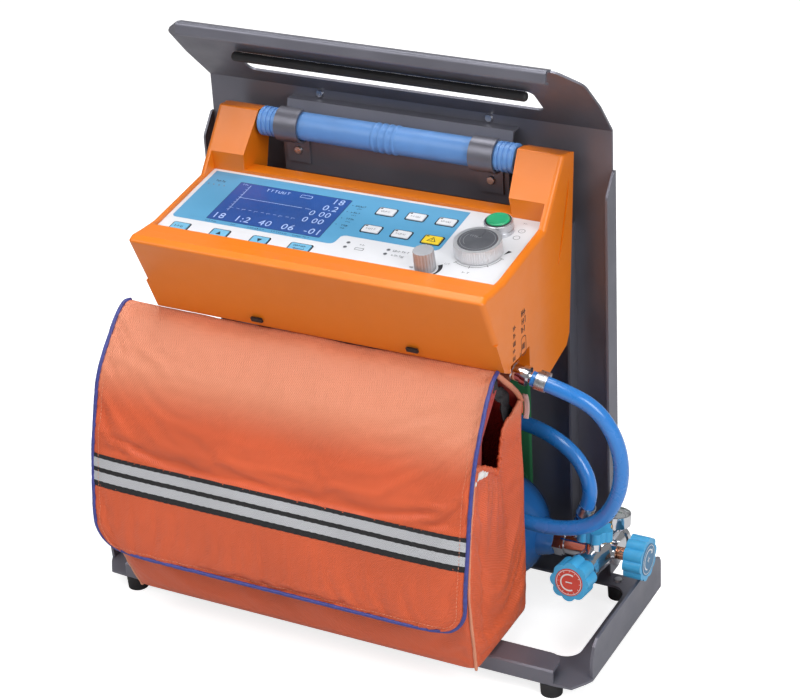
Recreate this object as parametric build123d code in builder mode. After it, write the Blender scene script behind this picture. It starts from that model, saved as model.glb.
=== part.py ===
from build123d import *
from math import sin, cos, tan, radians, sqrt
import os

os.makedirs("parts", exist_ok=True)

# ---------------------------------------------------------------- driving dimensions (mm)
# Working frame: X to the right, Y to the back, Z up, floor at Z = 0, front face of the
# back plate at Y = 0.  Every piece is moved by DATUM at the end, so that the origin of
# the finished model is the centre of the footprint on the floor.
SHEET = 2.0            # steel sheet of the rack
PLATE_HW = 192.0       # half width of the back plate
PLATE_TOP = 438.0      # height of the bend between back plate and carrying flange
FLANGE_X = 194.4       # outer face of the side flanges
FLANGE_D = 17.0        # their depth
FLANGE_TOP = 403.0
LEAN = 44.0            # carrying flange leans forward by this angle from the vertical
CARRY_LEN = 103.0      # its slant height
SLOT_HW = 140.0        # half length of the hand slot
BASE_HW = 240.5        # half width of the base frame
BASE_Z = 13.5          # underside of the base sheet
BASE_T = 2.5
BASE_FRONT = -185.5
BASE_REAR = -11.7
RAIL_H = 36.0          # height of the side rails over the underside of the base
STEP_TOP = 28.3        # top of the folded front rail
CON_HW = 164.0         # half width of the console
WALL = 3.0             # console wall
PANEL_Y = -159.5       # front edge of the control panel
PANEL_Z = 362.0
PANEL_TILT = 7.73      # slope of the control panel, degrees
PANEL_LEN = 101.5
PANEL_HW = 158.0
PANEL_T = 2.0
GRIP_Y = -30.5         # axis of the grip
GRIP_Z = 415.2
GRIP_R = 12.8
CYL_Y = -56.0          # axis of the gas cylinder
CYL_Z = 70.0
CYL_R = 50.0
REG_X = 205.0          # plane of the pressure reducer's barrel
REG_TILT = 9.3         # the reducer is turned up by this angle about the cylinder axis
HOSE_R = 6.6
DATUM = Location((-2.95, 116.5, 0))


def save(piece, name):
    shape = piece.part.moved(DATUM)
    shape.label = name
    export_step(shape, "parts/" + name + ".step")


def panel_plane(x, along, lift=0.0):
    # a plane on the control panel: x across, along up the slope from its front edge
    t = radians(PANEL_TILT)
    y = PANEL_Y + along * cos(t) - lift * sin(t)
    z = PANEL_Z + along * sin(t) + lift * cos(t)
    return Plane(origin=(x, y, z), x_dir=(1, 0, 0), z_dir=(0, -sin(t), cos(t)))


def reg_plane(x, s, up=0.0, kind="front"):
    # planes of the pressure reducer; s runs forward along the barrel from the cylinder axis
    t = radians(REG_TILT)
    o = (x, CYL_Y - s * cos(t) + up * sin(t), CYL_Z + s * sin(t) + up * cos(t))
    if kind == "front":
        return Plane(origin=o, x_dir=(1, 0, 0), z_dir=(0, -cos(t), sin(t)))
    return Plane(origin=o, x_dir=(1, 0, 0), z_dir=(0, sin(t), cos(t)))


def side_plane(x):
    # sketch plane whose local x is +Y and local y is +Z
    return Plane.YZ.offset(x)


def cross_plane(x, y, z):
    return Plane(origin=(x, y, z), x_dir=(0, 1, 0), z_dir=(1, 0, 0))


# ================================================================ RACK
# ---- back plate with its two side flanges, one folded sheet
with BuildPart() as back_plate:
    with BuildSketch(Plane.XZ.offset(-SHEET)):
        with BuildLine():
            Polyline((-PLATE_HW, BASE_Z + BASE_T), (PLATE_HW, BASE_Z + BASE_T),
                     (PLATE_HW, PLATE_TOP), (-PLATE_HW, PLATE_TOP), close=True)
        make_face()
    extrude(amount=SHEET)
    # outside of the bend to the carrying flange
    with BuildSketch(side_plane(-PLATE_HW)):
        with BuildLine():
            Polyline((0, PLATE_TOP), (SHEET, PLATE_TOP), (SHEET * cos(radians(LEAN)),
                     PLATE_TOP + SHEET * sin(radians(LEAN))), close=True)
        make_face()
    extrude(amount=2 * PLATE_HW)
    for side in (-1, 1):
        x0 = side * FLANGE_X - (SHEET if side > 0 else 0)
        with BuildSketch(side_plane(x0)):
            with BuildLine():
                Polyline((SHEET, BASE_Z + BASE_T), (SHEET, FLANGE_TOP), (-2, FLANGE_TOP),
                         (-FLANGE_D, FLANGE_TOP - 18), (-FLANGE_D, BASE_Z + BASE_T), close=True)
            make_face()
        extrude(amount=SHEET)
        with BuildSketch(Plane.XY.offset(BASE_Z + BASE_T)):
            with Locations((side * (PLATE_HW + 1.2), 1.0)):
                Rectangle(2.4, SHEET)
        extrude(amount=FLANGE_TOP - BASE_Z - BASE_T)
    tips = back_plate.edges().filter_by(Axis.X).filter_by(
        lambda e: abs(e.length - SHEET) < 0.05 and abs(e.center().Z - FLANGE_TOP + 18) < 0.5)
    fillet(tips, 9.0)
    with Locations(Plane.XZ.offset(-SHEET)):
        with Locations((-81.0, 434.2), (81.0, 434.2)):
            Hole(2.1, depth=20)
save(back_plate, "back_plate")

# ---- carrying flange: leans forward, has the hand slot and a turned-over hem
lean = radians(LEAN)
carry = Plane(origin=(0, 0, PLATE_TOP), x_dir=(1, 0, 0), z_dir=(0, -cos(lean), -sin(lean)))
with BuildPart() as carry_flange:
    with BuildSketch(carry):
        with BuildLine():
            Polyline((-PLATE_HW, 0), (PLATE_HW, 0), (PLATE_HW + 3, 44), (PLATE_HW + 1.5, 84),
                     (PLATE_HW - 18, CARRY_LEN), (-PLATE_HW + 18, CARRY_LEN),
                     (-PLATE_HW - 1.5, 84), (-PLATE_HW - 3, 44), close=True)
        make_face()
        with Locations((0, 40.5)):
            RectangleRounded(2 * SLOT_HW, 36, 7, mode=Mode.SUBTRACT)
    extrude(amount=-SHEET)
    round_ups = carry_flange.edges().filter_by(
        lambda e: abs(e.length - SHEET) < 0.05 and e.center().Z > 470 and abs(e.center().X) > 160)
    fillet(round_ups, 14.0)

# hem rolled over the flange's front edge, fused to it
hem_y = -CARRY_LEN * sin(lean)
hem_z = PLATE_TOP + CARRY_LEN * cos(lean)
with BuildPart() as hem:
    with BuildSketch(side_plane(-170)):
        with BuildLine() as hem_line:
            FilletPolyline((hem_y + 1.2, hem_z + 1.2), (hem_y - 7.0, hem_z + 3.2),
                           (hem_y - 8.7, hem_z - 6.4), (hem_y - 4.2, hem_z - 7.8), radius=2.2)
            offset(amount=1.1, side=Side.BOTH)
        make_face()
    extrude(amount=340)
with BuildPart() as carry_sheet:
    add(carry_flange.part)
    add(hem.part)
save(carry_sheet, "carry_flange")

# ---- padded grip rod along the upper edge of the slot
roll_s = 60.0
roll_y = -roll_s * sin(lean) - 5.2 * cos(lean)
roll_z = PLATE_TOP + roll_s * cos(lean) - 5.2 * sin(lean)
with BuildPart() as slot_grip:
    with BuildSketch(cross_plane(-138, roll_y, roll_z)):
        Circle(4.2)
    extrude(amount=276)
    fillet(slot_grip.edges(), 3.0)
save(slot_grip, "slot_grip")

# ---- centre channel that carries console and cylinder
CH_HW = 158.0
CH_TOP = 352.0
with BuildPart() as centre_channel:
    with BuildSketch(Plane.XZ):
        with BuildLine():
            Polyline((-CH_HW, BASE_Z + BASE_T), (CH_HW, BASE_Z + BASE_T), (CH_HW, CH_TOP),
                     (-CH_HW, CH_TOP), close=True)
        make_face()
    extrude(amount=SHEET)
    for side in (-1, 1):
        x0 = side * CH_HW - (SHEET if side > 0 else 0)
        with BuildSketch(side_plane(x0)):
            with BuildLine():
                Polyline((0, BASE_Z + BASE_T), (0, CH_TOP), (-3, CH_TOP), (-15.5, CH_TOP - 14),
                         (-15.5, BASE_Z + BASE_T), close=True)
            make_face()
        extrude(amount=SHEET)
    tips = centre_channel.edges().filter_by(Axis.X).filter_by(
        lambda e: abs(e.length - SHEET) < 0.05 and abs(e.center().Z - CH_TOP + 14) < 0.5)
    fillet(tips, 8.0)
save(centre_channel, "centre_channel")

# ---- hat rail behind the grip, screwed to the back plate
with BuildPart() as hook_rail:
    with BuildSketch(side_plane(-108)):
        with BuildLine():
            Polyline((0, 430), (-10, 430), (-15.4, 414), (-21.5, 400), (-21.5, 368), (0, 368),
                     (0, 370), (-19.5, 370), (-19.5, 399.4), (-13.6, 413.2), (-8.4, 428),
                     (0, 428), close=True)
        make_face()
    extrude(amount=216)
    with Locations(Plane.XZ.offset(24)):
        with Locations((-92.5, 389.0), (92.5, 389.0)):
            Hole(2.0, depth=12)
save(hook_rail, "hook_rail")

# ---- two clamp hooks around the grip
with BuildPart() as grip_hooks:
    for hx in (-92.5, 92.5):
        with BuildSketch(side_plane(hx - 11)):
            with BuildLine():
                r1 = GRIP_R + 0.4
                r2 = GRIP_R + 2.4
                a0, a1 = radians(82), radians(262)
                am = (a0 + a1) / 2
                pin0 = (GRIP_Y + r1 * cos(a0), GRIP_Z + r1 * sin(a0))
                pinm = (GRIP_Y + r1 * cos(am), GRIP_Z + r1 * sin(am))
                pin1 = (GRIP_Y + r1 * cos(a1), GRIP_Z + r1 * sin(a1))
                pout0 = (GRIP_Y + r2 * cos(a0), GRIP_Z + r2 * sin(a0))
                poutm = (GRIP_Y + r2 * cos(am), GRIP_Z + r2 * sin(am))
                pout1 = (GRIP_Y + r2 * cos(a1), GRIP_Z + r2 * sin(a1))
                ThreePointArc(pin0, pinm, pin1)
                Polyline(pin1, (-21.6, GRIP_Z - 13.3), (-21.6, 377.5), (-23.6, 377.5),
                         (-23.6, GRIP_Z - 15.4), pout1)
                ThreePointArc(pout1, poutm, pout0)
                Line(pout0, pin0)
            make_face()
        extrude(amount=22)
    with Locations(Plane.XZ.offset(30)):
        with Locations((-92.5, 389.0), (92.5, 389.0)):
            Hole(2.0, depth=12)
save(grip_hooks, "grip_hooks")

# ---- base frame: one sheet with up-turned side rails and a folded front rail
with BuildPart() as base_frame:
    with BuildSketch(Plane.XY.offset(BASE_Z)):
        with BuildLine():
            Polyline((-PLATE_HW, SHEET), (PLATE_HW, SHEET), (PLATE_HW, BASE_REAR),
                     (BASE_HW, BASE_REAR), (BASE_HW, -166), (BASE_HW - 3, -172),
                     (229, BASE_FRONT + 1), (212.5, BASE_FRONT), (-212.5, BASE_FRONT),
                     (-229, BASE_FRONT + 1), (-BASE_HW + 3, -172), (-BASE_HW, -166),
                     (-BASE_HW, BASE_REAR), (-PLATE_HW, BASE_REAR), close=True)
        make_face()
        with Locations((0, -88)):
            RectangleRounded(432, 116, 14, mode=Mode.SUBTRACT)
    extrude(amount=BASE_T)
    for side in (-1, 1):
        x0 = side * BASE_HW - (BASE_T if side > 0 else 0)
        with BuildSketch(side_plane(x0)):
            with BuildLine():
                Polyline((BASE_REAR, BASE_Z + 1), (BASE_REAR, BASE_Z + RAIL_H - 9),
                         (BASE_REAR - 3, BASE_Z + RAIL_H - 3), (BASE_REAR - 10, BASE_Z + RAIL_H),
                         (-154, BASE_Z + RAIL_H), (-161, BASE_Z + RAIL_H - 5),
                         (-166, BASE_Z + RAIL_H - 15), (-166.8, BASE_Z + RAIL_H - 22),
                         (-166, BASE_Z + 1), close=True)
            make_face()
        extrude(amount=BASE_T)
    # front wall and top lip of the front rail
    with BuildSketch(side_plane(-212.5)):
        with BuildLine():
            Polyline((BASE_FRONT, BASE_Z + 1), (BASE_FRONT, STEP_TOP - 1.5),
                     (BASE_FRONT + 1.5, STEP_TOP), (BASE_FRONT + 25, STEP_TOP),
                     (BASE_FRONT + 25, STEP_TOP - BASE_T), (BASE_FRONT + BASE_T, STEP_TOP - BASE_T),
                     (BASE_FRONT + BASE_T, BASE_Z + 1), close=True)
        make_face()
    extrude(amount=425)
    lip_corners = base_frame.edges().filter_by(Axis.Z).filter_by(
        lambda e: abs(abs(e.center().X) - 212.5) < 0.5 and abs(e.center().Y - BASE_FRONT - 25) < 0.5)
    fillet(lip_corners, 12.0)
    with Locations(Plane.XY.offset(BASE_Z + BASE_T)):
        with Locations((-203.5, -21.0), (203.5, -21.0), (-207, -176), (207, -176)):
            Hole(2.6, depth=5)
save(base_frame, "base_frame")

# ---- rubber feet
with BuildPart() as feet:
    for fx, fy, fr in ((-207, -176, 9.4), (207, -176, 9.4), (-203.5, -21, 9.2), (203.5, -21, 9.2)):
        with BuildSketch(Plane.XY):
            with Locations((fx, fy)):
                Circle(fr)
        extrude(amount=BASE_Z, taper=-3)
    # bumpers below the front edge of the console
    for bx in (-62, 84):
        with BuildSketch(side_plane(bx - 5)):
            with BuildLine():
                Polyline((-162.2, 297), (-165.0, 297), (-163.2, 292.8), (-160.3, 292.8), close=True)
            make_face()
        extrude(amount=10)
save(feet, "feet")

# ---- screws of rack and console, one group
with BuildPart() as screws:
    for sx in (-81, 81):
        with BuildSketch(Plane.XZ.offset(0.02)):
            with Locations((sx, 434.2)):
                Circle(3.6)
        extrude(amount=1.8, taper=20)
        with BuildSketch(Plane.XZ.offset(0.02)):
            with Locations((sx, 434.2)):
                Circle(2.05)
        extrude(amount=-2.0)
    for sx in (-92.5, 92.5):
        with BuildSketch(Plane.XZ.offset(23.65)):
            with Locations((sx, 389)):
                Circle(3.8)
        extrude(amount=1.8, taper=20)
        with BuildSketch(Plane.XZ.offset(23.65)):
            with Locations((sx, 389)):
                Circle(1.95)
        extrude(amount=-5.0)
    for sx in (-203.5, 203.5):
        with BuildSketch(Plane.XY.offset(BASE_Z + BASE_T + 0.02)):
            with Locations((sx, -21)):
                Circle(4.0)
        extrude(amount=1.8, taper=20)
        with BuildSketch(Plane.XY.offset(BASE_Z + BASE_T + 0.02)):
            with Locations((sx, -21)):
                Circle(2.5)
        extrude(amount=-2.4)
    for sx, sz in ((-148, 300), (148, 300), (-148, 405), (148, 405)):
        yy = -29.5 + 15.5 * (sz - 262) / 159.5
        with BuildSketch(Plane.XZ.offset(-yy - 0.4)):
            with Locations((sx, sz)):
                Circle(3.4)
        extrude(amount=-1.6)
save(screws, "screws")

# ================================================================ CONSOLE
tilt = radians(PANEL_TILT)


def on_panel(along, lift):
    p = panel_plane(0, along, lift).origin
    return (p.Y, p.Z)


SEAM = [(-171.0, 317.5), (-49.0, 335.0), (-41.3, 349.0), (-27.0, 388.0), (-22.5, 424.4)]
RIM = 3.0              # the casing's rim stands over the panel by this much

outer_top = [(-192.5, 364.4), SEAM[0], SEAM[1], SEAM[2], SEAM[3], SEAM[4], (-35.0, 426.5),
             on_panel(86, RIM), on_panel(8, RIM), (-172.5, 366.6),
             (-185.5, 367.6)]
outer_low = [SEAM[0], (-157.7, 287.0), (-72.3, 243.6), (-36.0, 253.0), (-29.5, 262.0),
             (-14.0, 421.5), SEAM[4], SEAM[3], SEAM[2], SEAM[1]]
hollow = [(-184.5, 361.5), (-167.0, 317.0), (-154.5, 290.5), (-72.8, 247.6), (-38.5, 256.0),
          (-33.0, 264.0), (-23.5, 372.0), (-58.0, 370.5), on_panel(100, -PANEL_T - 3.0),
          on_panel(0, -PANEL_T - 3.0), (-172.0, 362.4)]

# space between the cheeks, behind the panel, where the hand takes the grip
with BuildPart() as hand_space:
    with BuildSketch(Plane.XZ.offset(0)):
        with BuildLine():
            Polyline((-131, 342), (131, 342), (121.6, 440), (-121.6, 440), close=True)
        make_face()
    extrude(amount=44)

with BuildPart() as hand_wall:
    with BuildSketch(Plane.XZ.offset(0)):
        with BuildLine():
            Polyline((-134, 339), (134, 339), (125, 443), (-125, 443), close=True)
        make_face()
    extrude(amount=47)

with BuildPart() as inner_room:
    with BuildSketch(side_plane(-CON_HW + WALL)):
        with BuildLine():
            Polyline(*hollow, close=True)
        make_face()
    extrude(amount=2 * (CON_HW - WALL))
    add(hand_wall.part, mode=Mode.SUBTRACT)

# pocket for the connector of the gas inlet, at the lower right
with BuildPart() as inlet_pocket:
    with BuildSketch(side_plane(147)):
        with BuildLine():
            Polyline((-146, 240), (-146, 287.5), (-110, 288.5), (-110, 240), close=True)
        make_face()
    extrude(amount=30)
with BuildPart() as inlet_wall:
    with BuildSketch(side_plane(144)):
        with BuildLine():
            Polyline((-149, 240), (-149, 290.5), (-107, 291.5), (-107, 240), close=True)
        make_face()
    extrude(amount=33)

KEYS = {  # name: (x, along, width, depth)
    "key_set": (-137.6, 8.0, 15.0, 11.0),
    "key_up": (-98.7, 8.0, 15.0, 11.0),
    "key_down": (-60.2, 8.0, 15.0, 11.0),
    "key_confirm": (-21.9, 8.0, 18.6, 11.0),
    "key_mode_1": (23.0, 78.8, 15.4, 9.6),
    "key_mode_2": (50.8, 78.8, 15.4, 9.6),
    "key_mode_3": (78.7, 78.8, 15.4, 9.6),
    "key_mode_4": (23.0, 51.0, 15.4, 9.6),
    "key_mode_5": (50.8, 51.0, 15.4, 9.6),
    "key_alarm": (79.4, 50.4, 15.4, 11.0),
}
LCD = (-68.1, 57.1, 108.4, 59.6)     # centre x, centre along, width, height
BIG = (124.2, 44.5)                  # large dial
SMALL = (92.6, 10.6)                 # small dial
POWER = (126.2, 79.6)                # main switch

with BuildPart() as casing_upper:
    with BuildSketch(side_plane(-CON_HW)):
        with BuildLine():
            Polyline(*outer_top, close=True)
        make_face()
    extrude(amount=2 * CON_HW)
    soft = casing_upper.edges().filter_by(
        lambda e: abs(abs(e.center().X) - CON_HW) < 0.01 and (
            e.center().Y < -175 or (e.center().Z > 360 and e.center().Y < -30.0)))
    fillet(soft, 4.5)
    long_edges = casing_upper.edges().filter_by(Axis.X).filter_by(
        lambda e: e.length > 200 and (e.center().Z > 420 or e.center().Y < -170)
        and e.center().Z > 350 and e.center().Y < -30)
    fillet(long_edges, 2.2)
    add(inner_room.part, mode=Mode.SUBTRACT)
    add(hand_space.part, mode=Mode.SUBTRACT)
    with BuildSketch(Plane.XZ.offset(43)):
        with BuildLine():
            Polyline((-127.5, 378.6), (127.5, 378.6), (121.6, 440), (-121.6, 440), close=True)
        make_face()
    extrude(amount=40, mode=Mode.SUBTRACT)
    # pocket for the panel plate and the window below it
    with BuildSketch(panel_plane(0, PANEL_LEN / 2, -PANEL_T)):
        Rectangle(2 * PANEL_HW + 0.6, PANEL_LEN + 0.6)
    extrude(amount=30, mode=Mode.SUBTRACT)
    with BuildSketch(panel_plane(0, 50.5, -PANEL_T - 12)):
        Rectangle(304, 98.6)
    extrude(amount=12.5, mode=Mode.SUBTRACT)
    with BuildSketch(cross_plane(-140, GRIP_Y, GRIP_Z)):
        Circle(6.0)
    extrude(amount=280, mode=Mode.SUBTRACT)
save(casing_upper, "casing_upper")

with BuildPart() as casing_lower:
    with BuildSketch(side_plane(-CON_HW)):
        with BuildLine():
            Polyline(*outer_low, close=True)
        make_face()
    extrude(amount=2 * CON_HW)
    under = casing_lower.edges().filter_by(Axis.X).filter_by(
        lambda e: e.length > 200 and e.center().Z < 300)
    fillet(under, 4.0)
    add(inner_room.part, mode=Mode.SUBTRACT)
    add(inlet_wall.part)
    add(inlet_pocket.part, mode=Mode.SUBTRACT)
    add(hand_space.part, mode=Mode.SUBTRACT)
    with BuildSketch(side_plane(CON_HW)):
        with BuildLine():
            Polyline((-160, 230), (-160, 300), (-100, 300), (-100, 230), close=True)
        make_face()
    extrude(amount=20, mode=Mode.SUBTRACT)
    with BuildSketch(side_plane(100)):
        with BuildLine():
            Polyline((-200, 200), (-200, 308.48), (-72.3, 243.6 - 0.05), (-72.3, 200), close=True)
        make_face()
        with BuildLine():
            Polyline((-200, 308.5), (-157.7, 287), (-72.3, 243.6), (-200, 243.6), close=True)
        make_face()
    extrude(amount=64, mode=Mode.SUBTRACT)
    # hose fitting's hole in the pocket's inner wall
    fit_plane = Plane(origin=(140, -127, 277.1), x_dir=(0, 1, 0),
                      z_dir=(cos(radians(13.5)), 0, -sin(radians(13.5))))
    with BuildSketch(fit_plane):
        Circle(5.0)
    extrude(amount=12, mode=Mode.SUBTRACT)
    # patient outlet's hole in the left wall
    with BuildSketch(side_plane(-CON_HW - 1)):
        with Locations((-105, 292)):
            Circle(11.0)
    extrude(amount=6, mode=Mode.SUBTRACT)
save(casing_lower, "casing_lower")

# ---- control panel plate with its holes
with BuildPart() as control_panel:
    with BuildSketch(panel_plane(0, PANEL_LEN / 2, -PANEL_T)):
        RectangleRounded(2 * PANEL_HW, PANEL_LEN, 2.0)
    extrude(amount=PANEL_T)
    for kx, ka, kw, kd in list(KEYS.values()):
        with BuildSketch(panel_plane(kx, ka, -PANEL_T - 1)):
            RectangleRounded(kw + 0.6, kd + 0.6, 1.3)
        extrude(amount=PANEL_T + 2, mode=Mode.SUBTRACT)
    with BuildSketch(panel_plane(LCD[0], LCD[1], -PANEL_T - 1)):
        Rectangle(LCD[2], LCD[3])
    extrude(amount=PANEL_T + 2, mode=Mode.SUBTRACT)
    for hole_at, hole_r in ((BIG, 3.06), (SMALL, 3.06), (POWER, 11.4)):
        with BuildSketch(panel_plane(hole_at[0], hole_at[1], -PANEL_T - 1)):
            Circle(hole_r)
        extrude(amount=PANEL_T + 2, mode=Mode.SUBTRACT)
save(control_panel, "control_panel")

with BuildPart() as lcd_window:
    with BuildSketch(panel_plane(LCD[0], LCD[1], -PANEL_T)):
        Rectangle(LCD[2], LCD[3])
    extrude(amount=PANEL_T)
save(lcd_window, "lcd_window")

with BuildPart() as lcd_module:
    with BuildSketch(panel_plane(LCD[0], LCD[1], -PANEL_T - 9.1)):
        Rectangle(LCD[2] + 10, LCD[3] + 8)
    extrude(amount=9.0)
    with BuildSketch(panel_plane(LCD[0], LCD[1], -PANEL_T - 0.9)):
        Rectangle(LCD[2] - 4, LCD[3] - 4)
    extrude(amount=0.85)
save(lcd_module, "lcd_module")

# ---- keys: cap, flange below the plate and plunger
KEY_PROUD = 1.0
for key_name, (kx, ka, kw, kd) in KEYS.items():
    with BuildPart() as key:
        with BuildSketch(panel_plane(kx, ka, -PANEL_T - 0.4)):
            RectangleRounded(kw, kd, 1.0)
        extrude(amount=PANEL_T + 0.4 + KEY_PROUD)
        with BuildSketch(panel_plane(kx, ka, -PANEL_T - 1.4)):
            Rectangle(kw + 1.8, kd + 1.4)
        extrude(amount=1.0)
        with BuildSketch(panel_plane(kx, ka, -PANEL_T - 8.0)):
            Circle(1.8)
        extrude(amount=6.8)
        crown = key.faces().sort_by(Axis.Z)[-1].edges()
        fillet(crown, 0.35)
    save(key, key_name)

# ---- main switch: bezel, cap with stem
with BuildPart() as switch_bezel:
    with BuildSketch(panel_plane(POWER[0], POWER[1], 0.0)):
        Circle(12.6)
    extrude(amount=3.2)
    with BuildSketch(panel_plane(POWER[0], POWER[1], 3.2)):
        Circle(12.0)
    extrude(amount=7.0)
    with BuildSketch(panel_plane(POWER[0], POWER[1], -PANEL_T - 6.0)):
        Circle(11.3)
    extrude(amount=PANEL_T + 6.0)
    with BuildSketch(panel_plane(POWER[0], POWER[1], -PANEL_T - 7.0)):
        Circle(10.0)
    extrude(amount=30, mode=Mode.SUBTRACT)
    chamfer(switch_bezel.edges().filter_by(GeomType.CIRCLE).sort_by(Axis.Z)[-2:], 0.5)
save(switch_bezel, "switch_bezel")

with BuildPart() as switch_cap:
    with BuildSketch(panel_plane(POWER[0], POWER[1], 1.0)):
        Circle(9.94)
    extrude(amount=11.2)
    with BuildSketch(panel_plane(POWER[0], POWER[1], -PANEL_T - 4.0)):
        Circle(4.0)
    extrude(amount=8.0)
    fillet(switch_cap.edges().filter_by(GeomType.CIRCLE).sort_by(Axis.Z)[-1], 1.6)
save(switch_cap, "switch_cap")

# ---- dials: knurled skirt with its shaft, dark cap, switch modules below
with BuildPart() as dial_large:
    with BuildSketch(panel_plane(BIG[0], BIG[1], 0.8)):
        Circle(19.8)
        with PolarLocations(20.1, 60):
            Circle(0.62, mode=Mode.SUBTRACT)
    extrude(amount=11.6)
    with BuildSketch(panel_plane(BIG[0], BIG[1], 10.8)):
        Circle(16.6)
    extrude(amount=5, mode=Mode.SUBTRACT)
    with BuildSketch(panel_plane(BIG[0], BIG[1], -PANEL_T - 14.0)):
        Circle(3.0)
    extrude(amount=PANEL_T + 20.0)
save(dial_large, "dial_large")

with BuildPart() as dial_large_cap:
    with BuildSketch(panel_plane(BIG[0], BIG[1], 10.8)):
        Circle(16.5)
    extrude(amount=1.8)
    with BuildSketch(panel_plane(BIG[0], BIG[1], 12.6)):
        with Locations((0, 9.5)):
            Rectangle(2.0, 11)
    extrude(amount=0.5)
    fillet(dial_large_cap.edges().filter_by(GeomType.CIRCLE).sort_by(Axis.Z)[-1], 0.5)
save(dial_large_cap, "dial_large_cap")

with BuildPart() as dial_small:
    with BuildSketch(panel_plane(SMALL[0], SMALL[1], 0.8)):
        Circle(8.9)
        with PolarLocations(9.2, 20):
            Circle(0.8, mode=Mode.SUBTRACT)
    extrude(amount=17.0, taper=1.0)
    with BuildSketch(panel_plane(SMALL[0], SMALL[1], -PANEL_T - 14.0)):
        Circle(3.0)
    extrude(amount=PANEL_T + 20.0)
save(dial_small, "dial_small")

with BuildPart() as panel_modules:
    with BuildSketch(panel_plane(POWER[0], POWER[1], -PANEL_T - 18.0)):
        Rectangle(20, 20)
    extrude(amount=11.0)
    for at, half in ((BIG, 9.0), (SMALL, 7.0)):
        with BuildSketch(panel_plane(at[0], at[1], -PANEL_T - 12.0)):
            Rectangle(2 * half, 2 * half)
            Circle(3.06, mode=Mode.SUBTRACT)
        extrude(amount=9.0)
save(panel_modules, "panel_modules")

# ---- inside: main board, battery, gas manifold, loudspeaker
with BuildPart() as main_board:
    with BuildSketch(panel_plane(-6, 52, -PANEL_T - 24.0)):
        Rectangle(280, 80)
    extrude(amount=1.6)
    for bx, ba, bw, bd, bh in ((-70, 55, 24, 24, 2.4), (-30, 62, 16, 20, 3.0), (10, 50, 30, 10, 4.0),
                               (60, 66, 12, 12, 6.0), (-110, 40, 18, 12, 5.0)):
        with BuildSketch(panel_plane(bx, ba, -PANEL_T - 22.4)):
            Rectangle(bw, bd)
        extrude(amount=bh)
save(main_board, "main_board")

with BuildPart() as battery_pack:
    with BuildSketch(Plane.XY.offset(293.5)):
        with Locations((-82, -109)):
            Rectangle(112, 78)
    extrude(amount=30)
    fillet(battery_pack.edges().filter_by(Axis.Z), 4.0)
save(battery_pack, "battery_pack")

with BuildPart() as gas_manifold:
    with BuildSketch(Plane.XY.offset(284.5)):
        with Locations((56, -93)):
            Rectangle(92, 54)
    extrude(amount=24)
    for vx in (22, 45, 68, 91):
        with BuildSketch(Plane.XY.offset(308.5)):
            with Locations((vx, -93)):
                Circle(8.5)
        extrude(amount=22)
    with BuildSketch(side_plane(102)):
        with Locations((-93, 296)):
            Circle(5)
    extrude(amount=18)
save(gas_manifold, "gas_manifold")

with BuildPart() as loudspeaker:
    with BuildSketch(side_plane(-150)):
        with Locations((-72, 302)):
            Circle(20)
    extrude(amount=8)
save(loudspeaker, "loudspeaker")

# ---- patient outlet: conical 22 mm port on the left
with BuildPart() as patient_outlet:
    with BuildSketch(side_plane(-CON_HW)):
        with Locations((-105, 292)):
            Circle(14.5)
    extrude(amount=-3.0)
    with BuildSketch(side_plane(-CON_HW - 3)):
        with Locations((-105, 292)):
            Circle(11.0)
    extrude(amount=-17.0)
    with BuildSketch(side_plane(-CON_HW)):
        with Locations((-105, 292)):
            Circle(11.0)
    extrude(amount=5.0)
    with BuildSketch(side_plane(-CON_HW - 21)):
        with Locations((-105, 292)):
            Circle(7.5)
    extrude(amount=27.0, mode=Mode.SUBTRACT)
save(patient_outlet, "patient_outlet")

# ---- gas inlet fitting, worm clamps and ferrule at the console
t135 = radians(13.5)


def inlet_plane(s):
    return Plane(origin=(147 + s * cos(t135), -127, 275.4 - s * sin(t135)), x_dir=(0, 1, 0),
                 z_dir=(cos(t135), 0, -sin(t135)))


with BuildPart() as inlet_fitting:
    with BuildSketch(inlet_plane(3.2)):
        RegularPolygon(9.4, 6)
    extrude(amount=8.0)
    with BuildSketch(inlet_plane(11.2)):
        Circle(7.2)
    extrude(amount=8.0)
    with BuildSketch(inlet_plane(19.2)):
        Circle(8.4)
    extrude(amount=5.0)
    with BuildSketch(inlet_plane(-3.0)):
        Circle(4.9)
    extrude(amount=8.0)
    with BuildSketch(inlet_plane(24.2)):
        Circle(4.4)
    extrude(amount=2.8)
save(inlet_fitting, "inlet_fitting")

# ---- grip: steel core carried by the cheeks, rubber sleeve with ribs
with BuildPart() as grip_core:
    with BuildSketch(cross_plane(-139.8, GRIP_Y, GRIP_Z)):
        Circle(6.0)
    extrude(amount=279.6)
save(grip_core, "grip_core")

with BuildPart() as grip_sleeve:
    with BuildSketch(cross_plane(-121.2, GRIP_Y, GRIP_Z)):
        Circle(GRIP_R - 0.6)
        Circle(6.0, mode=Mode.SUBTRACT)
    extrude(amount=242.4)
    for rx in (-119.0, -114.4, -109.8, -105.8, 105.8, 109.8, 114.4, 119.0):
        with BuildSketch(cross_plane(rx - 1.4, GRIP_Y, GRIP_Z)):
            Circle(GRIP_R)
            Circle(GRIP_R - 1.5, mode=Mode.SUBTRACT)
        extrude(amount=2.8)
save(grip_sleeve, "grip_sleeve")

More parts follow.
